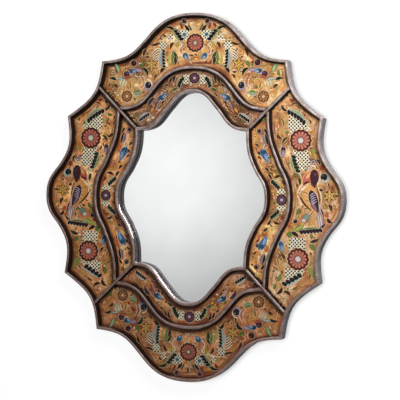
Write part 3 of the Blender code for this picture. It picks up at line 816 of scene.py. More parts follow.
def add_panel(name, far_edge, near_edge, turn):
    """A glass sheet between two edges, coloured for the painted ground's dark edge bands, painted shadow and
    shade, and smudges.
    """
    panel_tone, wide, _, _ = PANEL_LOOKS[name]
    shares = (1 - np.cos(np.linspace(0, math.pi, PANEL_STATIONS))) / 2
    rows = (1 - np.cos(np.linspace(0, math.pi, PANEL_ROWS))) / 2
    far = resampled(far_edge, shares)
    near = resampled(near_edge, shares)
    grid = near[None] + (far - near)[None] * rows[:, None, None]
    flat = grid.reshape(-1, 2) @ turn.T
    distance, ways = edge_distance(flat, panel_outline(far_edge, near_edge, turn))
    x, z = flat[:, 0], flat[:, 1]
    # Painted shadow under the upper left mouldings and painted shade beside the right flanks widen the dark
    # edge line
    under = smooth(-ways[:, 1], *BORDER_TURN) * smooth(z, *UPPER_FADE) * (name in UNDER_SHADOW_PANELS)
    under *= 1 - smooth(x, *LEFT_FADE)
    right = smooth(ways[:, 0], *BORDER_TURN) * smooth(x, *RIGHT_FADE)
    inside = distance - (BORDER + UNDER_SHADOW * under + RIGHT_SHADE * right)
    # Painted shade inside the bands, narrower towards the right
    shade = EDGE_SHADE * wide * (1 - BRIGHT_SIDE * smooth(x, *BRIGHT_FADE))
    tone = EDGE_TONE + (1 - EDGE_TONE) * smooth(inside, 0.0, shade)[:, None]
    # The panel's tone is partly painted shade
    tone = tone * smudges(flat)[:, None] ** SMUDGE_TINT * panel_tone
    tone = EDGE_LINE_AND_SHADOW_TONE + (tone - EDGE_LINE_AND_SHADOW_TONE) * smooth(inside, 0.0, BORDER_FADE)[:, None]
    verts = np.vstack((stood(flat, GLASS_FRONT), stood(flat, GLASS_BACK)))
    count = len(flat)
    faces = []
    for row in range(PANEL_ROWS - 1):
        for i in range(PANEL_STATIONS - 1):
            a = row * PANEL_STATIONS + i
            b = a + PANEL_STATIONS
            faces.append((a, a + 1, b + 1, b))
            faces.append((count + a, count + b, count + b + 1, count + a + 1))
    places = np.arange(count).reshape(PANEL_ROWS, PANEL_STATIONS)
    rim = np.concatenate((places[0], places[1:, -1], places[-1, -2::-1], places[-2:0:-1, 0])).tolist()
    for a, b in zip(rim, rim[1:] + rim[:1]):
        faces.append((a, b, count + b, count + a))
    piece = new_object("panel_" + name, verts.tolist(), faces, GROUND, np.vstack((tone, tone)))
    outwards(piece.data)
    dress(piece, "painted_glass", "glass_" + name)


def panel_edges(side):
    """The far and near edges of a side's outer and inner panels, as (along, out) lines."""
    edge = STEM + GLASS_GAP
    lines = {
        "outer_": (side.outer_chain(-RIM_STEM - GLASS_GAP), offset(side.mid, edge)),
        "inner_": (offset(side.mid, -edge), offset(side.inner, edge)),
    }
    return {band: [side.within_mitres(line, edge) for line in pair] for band, pair in lines.items()}


for pair in (UPRIGHT, SIDEWAYS):
    for band, (far_edge, near_edge) in panel_edges(pair).items():
        for name in pair.names:
            add_panel(band + name, far_edge, near_edge, TURN[name])


# Painted strokes

FIRST_STROKE = 0.00006
STROKE_STEP = 0.0000012
STROKE_SEAT = 0.00005

MAROON = srgb(76, 22, 22)
ROSE = srgb(150, 74, 63)
PETAL = srgb(214, 138, 113)
SALMON = srgb(200, 104, 86)
PURPLE = srgb(98, 58, 74)
PLUM = srgb(58, 34, 48)
MAUVE = srgb(150, 112, 128)
LILAC = srgb(188, 172, 188)
CREAM = srgb(246, 230, 196)
ICE = srgb(205, 216, 214)
ASH = srgb(222, 212, 210)
STONE = srgb(170, 154, 130)
MINT = srgb(178, 196, 160)
SAGE = srgb(150, 166, 140)
BLUE = srgb(84, 128, 178)
SKY = srgb(152, 186, 210)
TEAL = srgb(62, 112, 138)
GREEN = srgb(112, 142, 66)
FERN = srgb(74, 110, 50)
LIME = srgb(178, 182, 92)
PINE = srgb(32, 46, 34)
BLACK = srgb(22, 20, 22)
GOLD = srgb(226, 178, 78)
OCHRE = srgb(196, 148, 74)
YELLOW = srgb(238, 208, 112)
BROWN = srgb(104, 58, 28)
UMBER = srgb(62, 32, 20)
ORANGE = srgb(222, 138, 66)
BRICK = srgb(172, 62, 40)
PEACH = srgb(238, 190, 140)
TAN = srgb(196, 140, 92)
BUFF = srgb(232, 170, 100)
NET_BROWN = srgb(44, 26, 20)
NET_CREAM = srgb(255, 243, 216)
OUTLINE = srgb(240, 212, 158)
SEPIA = srgb(66, 36, 24)
OLIVE = srgb(104, 96, 40)
CURL_TONES = (YELLOW, PEACH, GOLD, CREAM)
SMALL_LEAF_TONES = ((BROWN, UMBER), (UMBER, BROWN), (BRICK, BROWN), (OLIVE, BROWN), (MAROON, UMBER),
                    (GREEN, FERN), (PEACH, GOLD))
STREAK_TONES = [srgb(*tone) for tone in ((178, 106, 84), (160, 98, 52), (214, 150, 110), (150, 116, 62),
                                         (228, 176, 122), (132, 72, 50))]
# Strokes of darker tones than this get a pale outline
DARK_STROKE = 0.10
TONE_SPREAD = 0.10

# Strokes, in millimetres
RIBBON_STATIONS = 13
SPIRAL_STATIONS = 26
SPIRAL_CLOSING = 0.82
LEAF_OUTLINE = 1.6
SPLIT_OUTLINE = 1.8
SCROLL_OUTLINE = 1.0
SCROLL_TURNS = 1.1
RIB_WIDTH = 0.5
NET_LINE = 1.9
NET_PITCH = 5.7
FINE_PITCH = 5.3
DOT_SIZES = (0.8, 1.2)
# Wider strokes mark all of their area as taken, at this spacing
WIDE_STROKE = 7.0
TAKEN_SPACING = 2.5

# Long streaks along the panel's edges, in millimetres and points of the edge
EDGE_POINTS = 241
OUTER_STREAKS = 90
INNER_STREAKS = 60
STREAK_POINTS = (5, 12)
STREAK_WIDTHS = (1.4, 3.4)
STREAK_REACH = (6.0, 15.0)
STREAK_STRAIGHTNESS = 0.8

# Small strokes between the motifs, in millimetres and numbers per panel, and how they share out
OUTER_FILLS = 150
INNER_FILLS = 50
OUTER_MARGIN = 9.0
INNER_MARGIN = 7.0
SMALLEST_FILL = 1.9
LARGEST_FILL = 6.0
FILL_TRIES = 40
CURLS_UP_TO = 0.30
LEAVES_UP_TO = 0.72
BEADS_UP_TO = 0.90


def path(start, end, bend=0.0, count=RIBBON_STATIONS):
    """A bowed line from start to end; bend is the bow as a share of the length, to the left."""
    start, end = np.array(start, float), np.array(end, float)
    run = end - start
    pull = (start + end) / 2 + vec(-run[1], run[0]) * bend * 2
    t = np.linspace(0, 1, count)[:, None]
    return start * (1 - t) ** 2 + pull * 2 * t * (1 - t) + end * t ** 2


def spiral(centre, radius, turns, start, hand):
    t = np.linspace(0, 1, SPIRAL_STATIONS)
    angle = math.radians(start) + hand * turns * 2 * math.pi * t
    reach = radius * (1 - SPIRAL_CLOSING * t)
    return np.array(centre) + np.stack((np.cos(angle) * reach, np.sin(angle) * reach), axis=1)


def around(count):
    """Angles evenly round a circle."""
    return np.linspace(0, 2 * math.pi, count + 1)[:-1]


def ways_of(points):
    way = np.gradient(points, axis=0)
    return way / np.maximum(np.linalg.norm(way, axis=1), 1e-9)[:, None]


def leaf_swell(skew=0.8, count=RIBBON_STATIONS):
    """Widths along a leaf, widest before its middle where skew is under 1."""
    t = np.linspace(0, 1, count)
    return np.maximum(np.sin(math.pi * t ** skew) ** 0.8, 0.08)


class Paint:
    """The strokes of one panel, in millimetres. Each is a closed sheet seated in the ground."""

    def __init__(self, outline):
        self.verts = []
        self.faces = []
        self.tones = []
        self.taken = []
        self.outline = outline / MM
        self.flip = vec(1, 1)
        self.height = GLASS_FRONT + FIRST_STROKE

    def layer(self):
        self.height += STROKE_STEP

    def sheet(self, points, faces, loop, tones):
        """A flat shape at the present height, with walls under its outer loop and a closed underside."""
        base = len(self.verts)
        top = np.array(points) * self.flip
        self.taken.append(top[::3])
        top = top * MM
        if self.flip.prod() < 0:
            faces = [face[::-1] for face in faces]
            loop = loop[::-1]
        self.verts += stood(top, self.height).tolist()
        self.faces += [[base + i for i in face] for face in faces]
        under = len(self.verts)
        self.verts += stood(top[loop], GLASS_FRONT - STROKE_SEAT).tolist()
        count = len(loop)
        for i in range(count):
            after = (i + 1) % count
            self.faces.append((base + loop[after], base + loop[i], under + i, under + after))
        self.faces.append([under + i for i in range(count)][::-1])
        tones = np.clip(np.array(tones) * (1 + rng.uniform(-TONE_SPREAD, TONE_SPREAD)), 0, 1)
        self.tones += tones.tolist() + tones[loop].tolist()

    def ribbon(self, points, widths, mid, edge=None, new_layer=True):
        """A stroke along a line."""
        if new_layer:
            self.layer()
        edge = mid if edge is None else edge
        sideways = left_of(ways_of(points)) * (np.array(widths) / 2)[:, None]
        count = len(points)
        rows = np.vstack((points + sideways, points, points - sideways))
        faces = []
        for i in range(count - 1):
            faces.append((i, count + i, count + i + 1, i + 1))
            faces.append((count + i, 2 * count + i, 2 * count + i + 1, count + i + 1))
        loop = list(range(2 * count, 3 * count)) + list(range(count - 1, -1, -1))
        loop = loop[:count] + [2 * count - 1] + loop[count:] + [count]
        tones = [edge] * count + [mid] * count + [edge] * count
        self.sheet(rows, faces, loop, tones)
        if np.max(widths) > WIDE_STROKE:
            shares = np.linspace(-0.9, 0.9, int(np.max(widths) / TAKEN_SPACING))
            self.taken.append(np.vstack([points + sideways * share for share in shares]) * self.flip)

    def blob(self, centre, width, height, mid, edge=None, turn=0.0, lobes=0, depth=0.0, count=20,
             new_layer=True):
        """An oval, round or with lobes."""
        if new_layer:
            self.layer()
        edge = mid if edge is None else edge
        angles = np.linspace(0, 2 * math.pi, count, endpoint=False)
        swell = 1 - depth + depth * np.abs(np.cos(lobes * angles / 2)) if lobes else 1.0
        turn = math.radians(turn)
        x = np.cos(angles) * width / 2 * swell
        z = np.sin(angles) * height / 2 * swell
        cos, sin = math.cos(turn), math.sin(turn)
        ring = np.stack((x * cos - z * sin, x * sin + z * cos), axis=1)
        centre = np.array(centre, float)
        points = np.vstack((centre[None], centre + ring * 0.6, centre + ring))
        faces = []
        for i in range(count):
            after = (i + 1) % count
            faces.append((0, 1 + i, 1 + after))
            faces.append((1 + i, 1 + count + i, 1 + count + after, 1 + after))
        loop = list(range(1 + count, 1 + 2 * count))
        mid, edge = np.array(mid), np.array(edge)
        tones = [mid] + [mid * 0.65 + edge * 0.35] * count + [edge] * count
        self.sheet(points, faces, loop, tones)
        if max(width, height) > WIDE_STROKE:
            shares = np.linspace(0.2, 1.0, int(max(width, height) / TAKEN_SPACING))
            self.taken.append(np.vstack([centre + ring * share for share in shares]) * self.flip)

    def disc(self, centre, across, mid, edge=None, **shape):
        self.blob(centre, across, across, mid, edge, **shape)

    def dots(self, points, size, tone):
        self.layer()
        for point in points:
            self.disc(point, rng.uniform(*DOT_SIZES) * size, tone, count=7, new_layer=False)

    def beads(self, start, end, bend, count, size, tone=CREAM):
        self.dots(path(start, end, bend, count), size, tone)

    def leaf(self, start, end, width, mid, edge=None, bend=0.0, skew=0.8, outline=None):
        if outline is None:
            outline = OUTLINE if np.mean(mid) < DARK_STROKE else SEPIA
        line = path(start, end, bend)
        swell = leaf_swell(skew)
        self.ribbon(line, (width + LEAF_OUTLINE) * swell, outline)
        self.ribbon(line, width * swell, mid, edge)

    def leaves(self, *rows):
        """Leaves given as start, end, width, colour, edge colour and bend."""
        for start, end, width, mid, edge, bend in rows:
            self.leaf(start, end, width, mid, edge, bend)

    def blade(self, start, end, width, tone, bend=0.0, count=RIBBON_STATIONS, edge=None):
        """A plain stroke, pointed at both ends."""
        self.ribbon(path(start, end, bend, count), width * leaf_swell(count=count), tone, edge)

    def fan(self, foot, step, reach, count, width, tones, bend, stations=RIBBON_STATIONS):
        """Blades whose feet are a step apart, in the given tones by turns."""
        for i in range(count):
            start = np.array(foot) + np.array(step) * i
            self.blade(start, start + reach, width, tones[i % len(tones)], bend, stations)

    def tapered(self, line, width, tone, tip):
        """A stroke that narrows to a share of its width."""
        self.ribbon(line, width * np.linspace(1, tip, len(line)), tone)

    def stem(self, start, end, width, tone, bend=0.0, tip=0.25):
        self.tapered(path(start, end, bend), width, tone, tip)

    def curl(self, centre, radius, turns, start, hand, width, tone):
        self.tapered(spiral(centre, radius, turns, start, hand), width, tone, 0.6)

    def scroll(self, centre, radius, tone, start, hand, width):
        """A tight curl with a dark outline."""
        line = spiral(centre, radius, SCROLL_TURNS, start, hand)
        self.tapered(line, width + SCROLL_OUTLINE, BROWN, 0.5)
        self.tapered(line, width, tone, 0.5)

    def scrolls(self, *rows):
        for centre, radius, tone, start, hand in rows:
            self.scroll(centre, radius, tone, start, hand, max(1.2, radius * 0.2))

    def split_leaf(self, start, end, width, left, right, bend=0.0):
        """A leaf of two colours, parted along its rib."""
        line = path(start, end, bend)
        sideways = left_of(ways_of(line))
        swell = leaf_swell()
        self.ribbon(line, (width + SPLIT_OUTLINE) * swell, OUTLINE)
        for tone, hand in ((left, 1), (right, -1)):
            self.ribbon(line + sideways * (hand * width / 4 * swell)[:, None], width / 2 * swell, tone)
        self.ribbon(line, np.full(RIBBON_STATIONS, RIB_WIDTH), CREAM)

    def toothed(self, start, end, lobes, size, dark, pale, width, hand, bend=0.0):
        """A row of dark lobes with a pale hatched feather along one side."""
        line = path(start, end, bend, 2 * lobes + 1)
        ways = ways_of(line)
        sideways = left_of(ways) * hand
        swell = leaf_swell(0.9, len(line))
        spine = line + sideways * (size * 0.25 + width * 0.38 * swell)[:, None]
        self.ribbon(spine, (width * 0.76 + LEAF_OUTLINE) * swell, CREAM)
        self.ribbon(spine, width * 0.76 * swell, pale, pale * 0.6)
        self.layer()
        for at in range(1, len(line) - 1):
            foot = line[at] + sideways[at] * size * 0.3
            tip = foot + sideways[at] * width * 0.66 * swell[at] + ways[at] * width * 0.5
            self.ribbon(path(foot, tip, -0.1 * hand, 4), (1.5, 1.4, 1.2, 0.7), pale * 0.16, new_layer=False)
        for grow, tone in ((1.4, CREAM), (0.0, dark)):
            self.layer()
            for i in range(lobes):
                at = 2 * i + 1
                turn = math.degrees(math.atan2(ways[at][1], ways[at][0])) - hand * 62
                self.blob(line[at] - sideways[at] * size * 0.12, size * 1.45 + grow, size * 0.92 + grow, tone,
                          turn=turn, count=12, new_layer=False)
        self.tapered(line[1:-1] + sideways[1:-1] * size * 0.22, size * 0.24, dark, 0.8)

    def rosette(self, centre, radius, rim, petal, petal_foot, heart, petals=14):
        """An open flower: dark scalloped rim, parted petals and a pale ringed heart."""
        across = 2 * radius
        centre = np.array(centre, float)
        scallops = {"lobes": petals, "count": 8 * petals}
        self.disc(centre, across + 2.6, OUTLINE * 0.8, depth=0.07, **scallops)
        self.disc(centre, across, rim, depth=0.09, **scallops)
        reach = np.linspace(0.24, 0.79, 11)
        wide = 2 * math.pi * reach * radius / petals * 0.84
        wide = wide * np.sqrt(np.maximum(1 - np.maximum((reach - 0.67) / 0.125, 0) ** 2, 0.05))
        tones = ((1.0, petal, petal_foot * 1.2), (0.60, petal_foot, petal), (0.45, petal, petal_foot))
        for share, tone, edge in tones:
            self.layer()
            for i in range(petals):
                way = unit(2 * math.pi * i / petals)
                line = centre + way * (radius * 0.24 + radius * 0.55 * share * np.linspace(0, 1, 11))[:, None]
                self.ribbon(line, wide * (0.55 + 0.45 * share), tone, edge, new_layer=False)
        self.disc(centre, across * 0.34, rim * 1.8, lobes=petals, depth=0.10, count=42)
        self.disc(centre, across * 0.28, heart * 0.72, heart * 0.55, lobes=9, depth=0.08, count=36)
        self.dots([centre + radius * 0.20 * unit(a) for a in around(9)], radius * 0.11, heart)
        self.disc(centre, across * 0.17, CREAM * 0.9, heart * 0.8)

    def star(self, centre, radius, points=6):
        """A gold flower of parted rays with dark edges and tips and a speckled heart."""
        centre = np.array(centre, float)
        swell = leaf_swell(0.9)
        for i in range(points):
            way = unit(2 * math.pi * (i + 0.5) / points)
            ray = path(centre + way * radius * 0.1, centre + way * radius * 1.25)
            self.ribbon(ray, (radius * 0.40 + 3.6) * swell, UMBER)
            self.ribbon(ray, radius * 0.40 * swell, GOLD, OCHRE)
            self.leaf(centre + way * radius * 1.05, centre + way * radius * 1.4, radius * 0.22, UMBER, BROWN)
        self.disc(centre, radius * 0.6, YELLOW, OCHRE, lobes=8, depth=0.15, count=32)
        for share, tone in ((0.2, BROWN), (0.5, CREAM)):
            self.dots([centre + radius * share * unit(a) for a in around(points)], radius * 0.13, tone)

    def berry(self, centre, radius, tone, halo, light=LILAC):
        """A round fruit with a pale edge and a glint, on a soft halo."""
        x, z = centre
        self.disc((x + radius * 0.22, z - radius * 0.22), 2.6 * radius, halo, halo * 0.7)
        self.disc(centre, 2.15 * radius, CREAM * 0.8)
        self.disc(centre, 1.95 * radius, tone * 0.7, tone)
        self.blob((x - radius * 0.3, z + radius * 0.35), radius * 0.5, radius * 0.4, light, tone)

    def bud(self, start, end, width, body, light, cup, bend=0.0):
        """A closed flower from its dark cup to its pale tip."""
        self.leaf(start, end, width, body, body * 0.55, bend, 0.7, CREAM)
        line = path(start, end, bend)
        light_line = line[5:-1]
        self.ribbon(light_line, 0.42 * width * leaf_swell(count=len(light_line)), light, body)
        self.blob(line[3], width * 0.8, width * 0.62, cup, cup * 0.6, count=12)
        self.beads(line[4], line[-3], bend + 0.2, 5, width * 0.13, CREAM)
        self.beads(line[4], line[-3], bend - 0.2, 5, width * 0.11, cup * 0.6)

    def net(self, corners, pitch=NET_PITCH, back=NET_BROWN):
        """Crossed cream lines over a dark patch with straight sides, its corners given anticlockwise."""
        corners = np.array(corners, float)
        self.layer()
        count = len(corners)
        middle = corners.mean(0)
        faces = [(count, i, (i + 1) % count) for i in range(count)]
        self.sheet(np.vstack((corners, middle)), faces, list(range(count)), [back] * (count + 1))
        for slant in (-1, 1):
            self.layer()
            along = vec(1, slant) / math.sqrt(2)
            across = vec(-slant, 1) / math.sqrt(2)
            steps = (corners - middle) @ across
            for step in np.arange(steps.min() + pitch / 2, steps.max(), pitch):
                ends = []
                for i in range(count):
                    a, b = steps[i] - step, steps[(i + 1) % count] - step
                    if a * b < 0:
                        ends.append(corners[i] + (corners[(i + 1) % count] - corners[i]) * a / (a - b))
                if len(ends) == 2:
                    ends.sort(key=lambda p: p @ along)
                    self.ribbon(np.array(ends), (NET_LINE, NET_LINE), NET_CREAM, new_layer=False)
                    self.taken.append(path(*ends, 0, 12) * self.flip)

    def streaks(self, count):
        """Long brush strokes that follow the panel's edges, under the motifs."""
        edge = resampled(np.vstack((self.outline, self.outline[:1])), np.linspace(0, 1, EDGE_POINTS))[:-1]
        ways = np.roll(edge, -1, axis=0) - np.roll(edge, 1, axis=0)
        ways /= np.linalg.norm(ways, axis=1)[:, None]
        after = np.roll(edge, -1, axis=0)
        turned = 1 if (edge[:, 0] * after[:, 1] - after[:, 0] * edge[:, 1]).sum() > 0 else -1
        inwards = left_of(ways) * turned
        for _ in range(count):
            run = np.arange(rng.randint(*STREAK_POINTS)) + rng.randrange(EDGE_POINTS)
            run %= EDGE_POINTS - 1
            if ways[run[0]] @ ways[run[-1]] < STREAK_STRAIGHTNESS:
                continue
            line = edge[run] + inwards[run] * rng.uniform(*STREAK_REACH)
            width = rng.uniform(*STREAK_WIDTHS) * leaf_swell(count=len(run))
            self.ribbon(line, width, rng.choice(STREAK_TONES))
            self.taken.pop()

    def roominess(self, spot):
        """How far inside the panel a spot lies, or nothing outside it."""
        a, b = self.outline, np.roll(self.outline, -1, axis=0)
        crossing = (a[:, 1] > spot[1]) != (b[:, 1] > spot[1])
        rise = np.where(crossing, b[:, 1] - a[:, 1], 1.0)
        at = a[:, 0] + (spot[1] - a[:, 1]) / rise * (b[:, 0] - a[:, 0])
        if (crossing & (at > spot[0])).sum() % 2 == 0:
            return 0.0
        return np.hypot(*(a - spot).T).min()

    def fill(self, count, margin):
        """Small strokes in the bare places between the motifs, each in the roomiest of some random spots."""
        points = np.vstack(self.taken)
        tree = KDTree(len(points))
        for i, point in enumerate(points):
            tree.insert((*point, 0), i)
        tree.balance()
        placed = []
        self.flip = vec(1, 1)
        for _ in range(count):
            best, room = None, SMALLEST_FILL
            for _ in range(FILL_TRIES):
                spot = random_spot(self.outline)
                clear = min([np.hypot(*(spot - other)) - reach for other, reach in placed]
                            + [tree.find((*spot, 0))[2]])
                if clear > room:
                    clear = min(clear, self.roominess(spot) - margin)
                if clear > room:
                    best, room = spot, clear
            if best is not None:
                reach = min(room, LARGEST_FILL)
                placed.append((best, reach * 1.1))
                self.small_stroke(best, reach)

    def small_stroke(self, spot, reach):
        """A curl, a leaf, a row of beads or a fan."""
        angle = rng.uniform(0, 2 * math.pi)
        way = unit(angle) * reach
        hand = rng.choice((-1, 1))
        kind = rng.random()
        if kind < CURLS_UP_TO:
            tone = rng.choice(CURL_TONES)
            self.scroll(spot, reach * 0.9, tone, math.degrees(angle), hand, 1.3 + reach * 0.08)
        elif kind < LEAVES_UP_TO:
            mid, edge = rng.choice(SMALL_LEAF_TONES)
            self.leaf(spot - way, spot + way, reach * 0.85, mid, edge, 0.2 * hand)
        elif kind < BEADS_UP_TO:
            self.beads(spot - way, spot + way, 0.3 * hand, 4, 2.2)
        else:
            tone = rng.choice(CURL_TONES)
            for turn in (-0.6, 0.0, 0.6):
                tip = spot + unit(angle + turn) * reach
                self.blade(spot - way, tip, 1.5, tone, 0.15 * hand, 5)

    def finish(self, name):
        """Makes the panel's strokes one piece."""
        # The power and level are partly painted shade, darkening the strokes of the lower and left panels
        _, _, power, level = PANEL_LOOKS[name]
        tones = np.array(self.tones) ** power * level
        piece = new_object("paint_" + name, self.verts, self.faces, PAINT, tones, PAINT_SMOOTH_ANGLE)
        dress(piece, "painted_glass")


# What is painted where: drawn on the right half of the top and on the right side, and mirrored from there

RED_FLOWER = (MAROON, PETAL, ROSE, ASH)
MIDDLE_FLOWER = (MAROON, PETAL, ROSE, STONE)
PURPLE_FLOWER = (PLUM * 0.7, PURPLE * 1.5, PURPLE, LILAC)
BROWN_FLOWER = (BROWN, TAN, BROWN * 1.3, PEACH)


def paint_outer_upright(p):
    """The right half of the top panel of the outer band."""
    # round the middle flower
    p.berry((27, 396), 5.5, MAROON * 0.8, MAUVE)
    p.leaves(
        ((8, 375), (16, 391), 6, OLIVE, UMBER, -0.15), ((16, 371), (27, 387), 7.5, BLACK, BLACK, 0.1),
        ((32, 377), (39, 392), 4, BRICK, BROWN, 0.15))
    p.net(((15, 374), (17, 357), (29, 351), (44, 356), (46, 373), (32, 377)), FINE_PITCH, BLACK)
    p.leaf((60, 379), (36, 349), 13, LIME, GREEN, -0.16)
    p.toothed((50, 376), (31, 352), 4, 8.0, BLACK, LIME, 8, 1)
    p.leaf((51, 375), (71, 381), 7.0, BLACK, BLACK, 0.2)
    p.berry((26, 366), 4.2, TEAL, ICE, SKY)
    for x, z, tone in ((28, 341, CREAM), (35, 336, YELLOW), (43, 335, GOLD), (50, 339, YELLOW),
                       (54, 346, CREAM)):
        p.leaf((40, 352), (x, z), 4.2, tone, tone * 0.8, 0.05)
    p.leaf((51, 348), (58, 333), 7.5, MAROON, BROWN, 0.15)
    p.net(((53, 366), (53, 352), (63, 350), (65, 360), (60, 369)), FINE_PITCH)
    p.curl((27, 327), 15, 0.6, 75, -1, 2.6, CREAM)
    p.beads((30, 346), (36, 320), -0.15, 9, 2.4, LILAC)
    p.bud((25, 325), (15, 310), 13, BLUE, SKY, TEAL, 0.1)
    p.split_leaf((49, 298), (53, 329), 17, PINE * 1.4, GREEN, 0.08)
    p.leaf((45, 300), (47, 318), 8, PLUM, MAROON)
    p.blade((60, 296), (59, 326), 4.5, LIME, -0.12)
    # the tall toothed leaf and its branch
    p.blade((48, 351), (88, 352), 2.4, CREAM, 0.06)
    p.net(((67, 350), (68, 338), (76, 331), (86, 333), (85, 350)), FINE_PITCH)
    for shift in range(5):
        foot = np.array((84 + 0.6 * shift, 337 - 6.0 * shift))
        p.blade(foot, foot + vec(19 - shift, -15), 2.6, CREAM, 0.10)
        p.blade(foot + vec(1, -3), foot + vec(19 - shift, -18), 2.2, BROWN, 0.10)
    p.toothed((75, 333), (73, 291), 6, 6.5, PINE * 0.7, ICE, 13, 1, 0.03)
    p.leaves(
        ((71, 290), (80, 278), 8, BLACK, UMBER, 0.2), ((84, 349), (107, 344), 6.5, UMBER, BROWN, -0.12),
        ((115, 334), (122, 316), 8, MAROON, BROWN, 0.16))
    # the golden star and the leaves round it
    p.star((103, 298), 13)
    p.leaves(
        ((88, 276), (95, 266), 6, BROWN, UMBER, 0.15), ((106, 283), (118, 284), 5, UMBER, BROWN, -0.1),
        ((126, 290), (113, 272), 8, PINE * 0.7, BLACK, -0.25),
        ((118, 304), (126, 291), 7, GREEN, FERN, 0.2))
    # berries, the blue leaf and the curls towards the ear
    p.leaf((127, 284), (142, 287), 10, LILAC, MAUVE, 0.05)
    p.bud((157, 285), (138, 285), 12, BLUE, SKY, TEAL * 0.5, 0.05)
    p.berry((146, 302), 7.4, MAROON, TAN, MAUVE)
    p.berry((163, 277), 7.8, PURPLE * 0.8, TAN, MAUVE)
    p.leaves(
        ((152, 269), (168, 267), 5, SALMON, BRICK, 0.2), ((182, 281), (192, 301), 9, MINT, GREEN, 0.1),
        ((168, 264), (190, 266), 5, ICE, SAGE, 0.1), ((188, 263), (205, 266), 7, PINE * 0.7, BLACK, 0.2),
        ((184, 246), (195, 253), 8, BROWN, UMBER, 0.15), ((153, 244), (157, 262), 6, BROWN, GOLD, 0.1))
    p.scrolls(
        ((146, 259), 9, YELLOW, 30, 1), ((172, 254), 7, CREAM, 100, -1), ((180, 276), 5, YELLOW, 0, 1),
        ((182, 230), 8, GOLD, 140, -1), ((133, 221), 7, GOLD, 60, 1))
    p.fan((160, 262), (3.2, 0.8), (5, -15), 6, 2.2, (CREAM, MINT), 0.15)
    p.curl((111, 252), 13, 0.9, 80, 1, 2.4, CREAM)
    p.berry((110, 252), 8, PLUM * 0.8, LILAC, SKY)
    for shift, size, tone in ((0, 3.0, CREAM), (4, 2.4, SALMON), (8, 2.6, CREAM)):
        p.beads((123 + shift, 272), (122 + shift, 246), -0.2, 8, size, tone)
    p.split_leaf((128, 238), (146, 235), 13, GREEN, SAGE, -0.1)
    p.rosette((161, 227), 13.5, *BROWN_FLOWER, petals=8)


def paint_bird(p):
    """The bird in the middle of the right panel."""
    # crest and scrolls over the head
    p.blob((277, 84), 15, 12, LILAC, MAUVE, turn=-20)
    p.leaves(
        ((270, 92), (288, 88), 6, MAUVE, PLUM, -0.2), ((284, 90), (291, 78), 6, UMBER, BLACK, 0.2),
        ((272, 76), (284, 70), 5, CREAM, PEACH, 0.2), ((292, 76), (300, 66), 9, BRICK, BROWN, 0.1))
    p.scrolls(((278, 83), 6, CREAM, 200, -1), ((266, 70), 5, ICE, 90, 1))
    # body with its feathers, edged with cream and brown
    p.blade((258, 37), (256, -8), 2.6, CREAM, -0.30)
    p.leaf((266, 38), (285, -29), 37, BUFF, BUFF * 0.85, -0.03, 0.85, SEPIA)
    p.fan((253, 22), (1.8, -4.6), (12, -6), 9, 1.5, (GOLD, BROWN, PEACH, ORANGE), 0.25, 7)
    p.fan((250, 18), (3.4, 1.8), (11, 12), 3, 2.4, (CREAM,), 0.15)
    p.blade((248, 10), (279, -23), 4.4, UMBER, -0.08, edge=BROWN)
    p.fan((283, 34), (4, 0), (9, -46), 2, 2.4, (BROWN, CREAM), 0.10)
    # face, beak and head
    p.leaf((255, 35), (275, 65), 18, SALMON, SALMON * 0.8, -0.04, 1.0, PEACH)
    p.leaf((261, 48), (272, 62), 9, PEACH, ORANGE, -0.05, 1.0, SALMON)
    p.blade((262, 33), (273, 37), 3.0, PEACH, 0.10)
    p.blade((256, 33), (272, 41), 4.6, UMBER, 0.14)
    p.leaf((278, 48), (282, 28), 13, MAROON, BROWN, 0, 0.8, MAROON * 0.7)
    p.blob((281, 52), 19, 33, PLUM, PLUM * 0.7, turn=4)
    p.blob((283, 57), 8, 9, PURPLE, PLUM)
    p.blade((276, 66), (276, 37), 7.5, MAROON, -0.06)
    # barred wing
    p.leaf((273, 23), (292, -28), 20, PLUM * 0.7, PLUM, -0.02, 0.72, CREAM)
    p.leaf((275, 2), (289, -24), 9, MAUVE, PURPLE, -0.05, 0.8, PLUM)
    p.fan((271, 9), (1.2, -4.8), (13, 9), 5, 2.4, (LILAC,), 0.10, 6)
    # tail
    p.leaf((291, -24), (298, -66), 12, MAUVE, LILAC, 0.03, 0.9, PLUM)
    p.blade((294, -8), (297, -28), 4.5, LILAC, 0.05)
    p.blade((296, -16), (304, -40), 3.2, PLUM, 0.05)
    p.fan((290, -30), (4, 0), (4, -32), 2, 1.6, (CREAM,), 0.05)
    p.leaves(((298, -64), (309, -49), 6, PLUM, BLACK, 0.1), ((297, -56), (303, -68), 5, PLUM, BLACK, -0.1))
    # legs
    for shift, tone in ((0, BROWN), (4, CREAM), (8, BROWN)):
        p.blade((275 + shift, -22), (270 + shift * 0.6, -46 - shift), 2.0, tone, -0.25)


